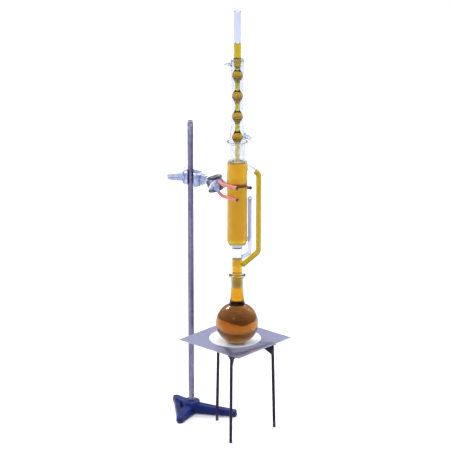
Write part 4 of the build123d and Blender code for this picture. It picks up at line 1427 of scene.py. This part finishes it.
@dataclass
class Condenser:
    """The bulbed inner tube in its water jacket, on a ground cone, with two water nozzles."""

    jacket_radius: float = 12.75 * MM
    wall: float = 1.5 * MM
    shoulder: float = 3.0 * MM
    flare_top: float = 632.0 * MM
    flare_foot: float = 606.5 * MM
    flare_radius: float = 16.5 * MM
    head_radius: float = 16.8 * MM
    cone_tip: float = 15.7 * MM
    cone_top: float = 17.45 * MM
    cone_length: float = 35.0 * MM
    cone_wall: float = 1.6 * MM
    seal_height: float = 592.0 * MM
    seal_thick: float = 2.0 * MM
    neck: float = 4.75 * MM
    bulb: float = 10.75 * MM
    bulb_reach: float = 15.5 * MM
    tube_wall: float = 1.2 * MM
    bulbs: tuple = (608.0 * MM, 649.0 * MM, 690.0 * MM, 731.0 * MM)
    shoulder_low: float = 744.0 * MM
    shoulder_high: float = 751.0 * MM
    top_radius: float = 7.0 * MM
    jacket_foot: float = 602.0 * MM
    nozzle_reach: float = 27.0 * MM
    hose: float = 8.0 * MM
    bore: float = 2.0 * MM
    ribs: int = 3
    rib_depth: float = 0.18 * MM

    def tube_radius(self, height: np.ndarray, wide: float) -> np.ndarray:
        """The inner tube's outer radius at each height.

        Each bulb swells from the neck by a raised cosine of its distance from the bulb's middle.

        Args:
            height: Heights.
            wide: The top tube's radius.

        Returns:
            A radius for each height.
        """
        step = np.clip((height - self.shoulder_low) / (self.shoulder_high - self.shoulder_low), 0, 1)
        straight = self.neck + (wide - self.neck) * step * step * (3 - 2 * step)
        for middle in self.bulbs:
            away = np.clip(np.abs(height - middle) / self.bulb_reach, 0, 1)
            swell = (self.bulb - self.neck) * 0.5 * (1 + np.cos(math.pi * away))
            straight = np.maximum(straight, self.neck + swell)
        return straight

    def build(self) -> None:
        """Turn jacket, cone and inner tube, add the nozzles and fill the tube."""
        low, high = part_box("condenser_tube")
        self.axis = (low + high) / 2
        jacket_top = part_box("condenser_jacket")[1].z
        wide = self.top_radius
        heights = np.linspace(low.z, high.z, 300)
        outer = np.stack([self.tube_radius(heights, wide), heights], 1)
        inner = outer - np.array([[self.tube_wall, 0.0]])
        lip = np.array([[wide - 0.6 * MM, high.z]])
        outer[-1, 1] -= 0.4 * MM
        self.tube = lathe("bulbed_tube", np.vstack([outer, lip, inner[::-1]]), self.axis, True, 80, 50)
        place(self.tube, "condenser", "clear_glass", "condenser_tube")
        self.build_jacket(jacket_top, wide)
        self.build_cone()
        upper = (SIDE_ANGLE + math.pi, 754 * MM, 8.0, 6.0 * MM, 3.0 * MM)
        lower = (SIDE_ANGLE, 613 * MM, 28.0, 5.5 * MM, 4.5 * MM)
        self.nozzles = [
            self.nozzle("water_nozzle_upper", "outlet_nozzle", *upper),
            self.nozzle("water_nozzle_lower", "inlet_nozzle", *lower),
        ]
        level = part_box("condenser_liquid")[1].z
        keep = heights < level - 0.5 * MM
        fill = inner[keep] + np.array([[OVERLAP, 0.0]])
        side = fill[-1, 0]
        surface = liquid_top(side, level, (1.2 * MM, 0.5 * MM), (side, 0.6 * MM))
        column = np.vstack([[[0, low.z]], fill, surface])
        self.liquid = lathe("condenser_filling", column, self.axis, around=80, sharp=60)
        place(self.liquid, "condenser", "gold_liquid", "condenser_liquid")

    def build_jacket(self, top: float, wide: float) -> None:
        """Turn the jacket as a closed wall that narrows onto the inner tube at its top.

        Args:
            top: Height of the jacket's top.
            wide: The inner tube's radius there.
        """
        join = wide + 0.02 * MM
        foot = self.jacket_foot
        outside = rounded(
            np.array(
                [
                    (self.head_radius, foot),
                    (self.flare_radius, self.flare_foot),
                    (self.jacket_radius, self.flare_top),
                    (self.jacket_radius, top - self.shoulder),
                    (self.jacket_radius - self.shoulder, top),
                    (join, top),
                ]
            ),
            5 * MM,
            9,
        )
        inner = self.jacket_radius - self.wall
        inside = rounded(
            np.array(
                [
                    (join, top - self.wall),
                    (inner - self.shoulder, top - self.wall),
                    (inner, top - self.shoulder - self.wall),
                    (inner, self.flare_top),
                    (self.flare_radius - self.wall, self.flare_foot),
                    (self.head_radius - self.wall, foot),
                ]
            ),
            5 * MM,
            9,
        )
        self.jacket = lathe("water_jacket", np.vstack([outside, inside]), self.axis, True, 96, 50)
        place(self.jacket, "condenser", "clear_glass", "condenser_jacket")

    def build_cone(self) -> None:
        """Turn the ground cone that hangs from the jacket, with the seal onto the inner tube."""
        low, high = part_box("ground_cone")
        top = low.z + self.cone_length
        seal = self.seal_height
        share = (seal - low.z) / self.cone_length
        bore_low = self.cone_tip - self.cone_wall
        bore_seal = self.cone_tip + (self.cone_top - self.cone_tip) * share - self.cone_wall
        neck = self.neck + 1.2 * MM
        loop = np.array(
            [
                (bore_low, low.z),
                (self.cone_tip, low.z),
                (self.cone_top, top),
                (self.head_radius, high.z - 0.01 * MM),
                (self.head_radius - self.wall, high.z - 0.01 * MM),
                (bore_seal, seal + self.seal_thick),
                (neck, seal + self.seal_thick),
                (neck, seal),
                (bore_seal, seal),
            ]
        )
        self.cone = lathe("ground_cone_glass", loop, self.axis, True, 96, 30)
        place(self.cone, "condenser", "clear_glass", "ground_cone")

    def nozzle(
        self, node: str, name: str, angle: float, height: float, drop: float, root: float, tip: float
    ) -> bpy.types.Object:
        """One water nozzle: a root that tapers out of the jacket, then a hose end with three soft ribs.

        The radius at length s runs from the root's to the tip's by a cubic ease, and along the hose
        end a small cos(2 pi s / pitch) ripple is taken away from it.

        Args:
            node: The CAD node it stands for.
            name: The piece's name.
            angle: Its plan angle.
            height: Where its axis leaves the jacket.
            drop: How far it is tipped down, in degrees.
            root: Radius at the jacket.
            tip: Radius of the hose end.

        Returns:
            The nozzle.
        """
        fall = math.radians(drop)
        level = level_way(angle)
        way = np.array(level * math.cos(fall) - Vector((0, 0, math.sin(fall))))
        inner = self.jacket_radius - self.wall - 1 * MM
        start = np.array([self.axis.x, self.axis.y, height]) + np.array(level) * inner
        length = (self.nozzle_reach - inner) / math.cos(fall)
        begin = (self.wall * 0.5 + 1 * MM) / math.cos(fall)
        along = np.linspace(begin, length - 0.05 * MM, 46)
        share = np.clip(along / (length - self.hose), 0, 1)
        radius = root + (tip - root) * share * share * (3 - 2 * share)
        in_hose = np.clip((along - (length - self.hose)) / self.hose, 0, 1)
        ripple = 1 - np.cos(2 * np.pi * self.ribs * in_hose)
        radius = radius - self.rib_depth * (in_hose > 0) * ripple
        radius[-1] -= 0.4 * MM
        path = start[None] + along[:, None] * way[None]
        piece = carry(name, path, radius, self.bore, 36)
        place(piece, "condenser", "clear_glass", node)
        return piece

    def dress(self) -> None:
        """Clear glass, a ground cone, and the golden liquid in the tube."""
        for piece in (self.tube, self.jacket, *self.nozzles):
            Finish.THIN_GLASS.on(piece)
        Finish.GROUND.on(self.cone)
        Finish.TUBE_GOLD.on(self.liquid)


# ------------------------------------------------------------------ studio
@dataclass(frozen=True)
class Softbox:
    """One soft square light, aimed at a place."""

    name: str
    place: tuple[float, float, float]
    size: float
    watts: float

    def hang(self, target: Vector) -> None:
        """Hang the light and aim it.

        Args:
            target: The place it faces.
        """
        lamp = bpy.data.lights.new(self.name, "AREA")
        lamp.size = self.size
        lamp.energy = self.watts
        hung = bpy.data.objects.new(self.name, lamp)
        hung.location = self.place
        hung.rotation_euler = (target - hung.location).to_track_quat("-Z", "Y").to_euler()
        bpy.context.scene.collection.objects.link(hung)


@dataclass
class Studio:
    """The pale floor, the soft light and the camera."""

    azimuth: float = 41.84
    elevation: float = 18.05
    distance: float = 5.0
    lens: float = 204.9
    right_shift: float = 24.0 * MM
    up_shift: float = 67.8 * MM
    aim_height: float = 0.5
    floor_reach: float = 30.0

    def build(self) -> None:
        """Lay the floor, set the sky, hang the lights and stand the camera."""
        self.lay_floor()
        self.set_sky()
        self.stand_camera()
        middle = Vector((0.03, 0, 0.45))
        for light in (
            Softbox("left_box", (-2.2, 0.15, 2.15), 0.4, 40.0),
            Softbox("right_box", (0.45, 2.45, 1.95), 0.35, 30.0),
            Softbox("front_box", (0.8, -2.35, 2.0), 0.35, 30.0),
            Softbox("top_box", (0.1, -0.2, 2.7), 1.2, 5.0),
        ):
            light.hang(middle)

    def lay_floor(self) -> None:
        """A wide plain floor, staged."""
        size = self.floor_reach
        corners = np.array([[-size, -size, 0], [size, -size, 0], [size, size, 0], [-size, size, 0]])
        floor = make_object("floor", corners, np.array([[0, 1, 2, 3]]))
        work = Surface("floor_card")
        tone = work.sheet.mix(work.sheet.noise(3.0, 2.0), (0.93, 0.93, 0.94, 1), (0.95, 0.95, 0.955, 1))
        work.put("Base Color", tone)
        work.put("Roughness", 0.9)
        work.put("Specular IOR Level", 0.1)
        floor.data.materials.append(work.material)

    def set_sky(self) -> None:
        """A bright sky that darkens towards the horizon, for soft contrast in metal and glass."""
        world = bpy.data.worlds.new("soft_sky")
        bpy.context.scene.world = world
        world.use_nodes = True
        sheet = NodeSheet(world.node_tree)
        way = sheet.add("ShaderNodeTexCoord").outputs["Generated"]
        height = sheet.add("ShaderNodeSeparateXYZ", {0: way}).outputs["Z"]
        tone = sheet.mix(sheet.ramp(height, -0.05, 0.7), (0.3, 0.31, 0.38, 1), (1.0, 1.0, 1.0, 1))
        back = sheet.add("ShaderNodeBackground", {"Color": tone, "Strength": 1.08})
        sheet.add("ShaderNodeOutputWorld", {"Surface": back.outputs[0]})

    def stand_camera(self) -> None:
        """Stand the camera at its azimuth and elevation, with the stack right of the middle."""
        turn, rise = math.radians(self.azimuth), math.radians(self.elevation)
        right = Vector((math.cos(turn), math.sin(turn), 0))
        back = Vector((math.sin(turn) * math.cos(rise), -math.cos(turn) * math.cos(rise), math.sin(rise)))
        up = back.cross(right)
        stack = centre_of("extractor_body")
        aim = Vector((stack.x, stack.y, self.aim_height)) - right * self.right_shift - up * self.up_shift
        lens = bpy.data.cameras.new("studio_camera")
        lens.sensor_width = 36.0
        lens.lens = self.lens
        lens.clip_end = 100.0
        camera = bpy.data.objects.new("studio_camera", lens)
        camera.location = aim + back * self.distance
        camera.rotation_euler = back.to_track_quat("Z", "Y").to_euler()
        bpy.context.scene.collection.objects.link(camera)
        bpy.context.scene.camera = camera
        bpy.context.scene.view_settings.view_transform = "Standard"


def main() -> None:
    """Build and dress every sub-assembly, then set the studio round it."""
    assemblies = (Stand(), BossHead(), Clamp(), Tripod(), WireGauze(), Flask(), Extractor(), Condenser())
    for assembly in assemblies:
        assembly.build()
        assembly.dress()
        log.info("%s is built and dressed", type(assembly).__name__)
    Studio().build()


if __name__ == "__main__":
    main()
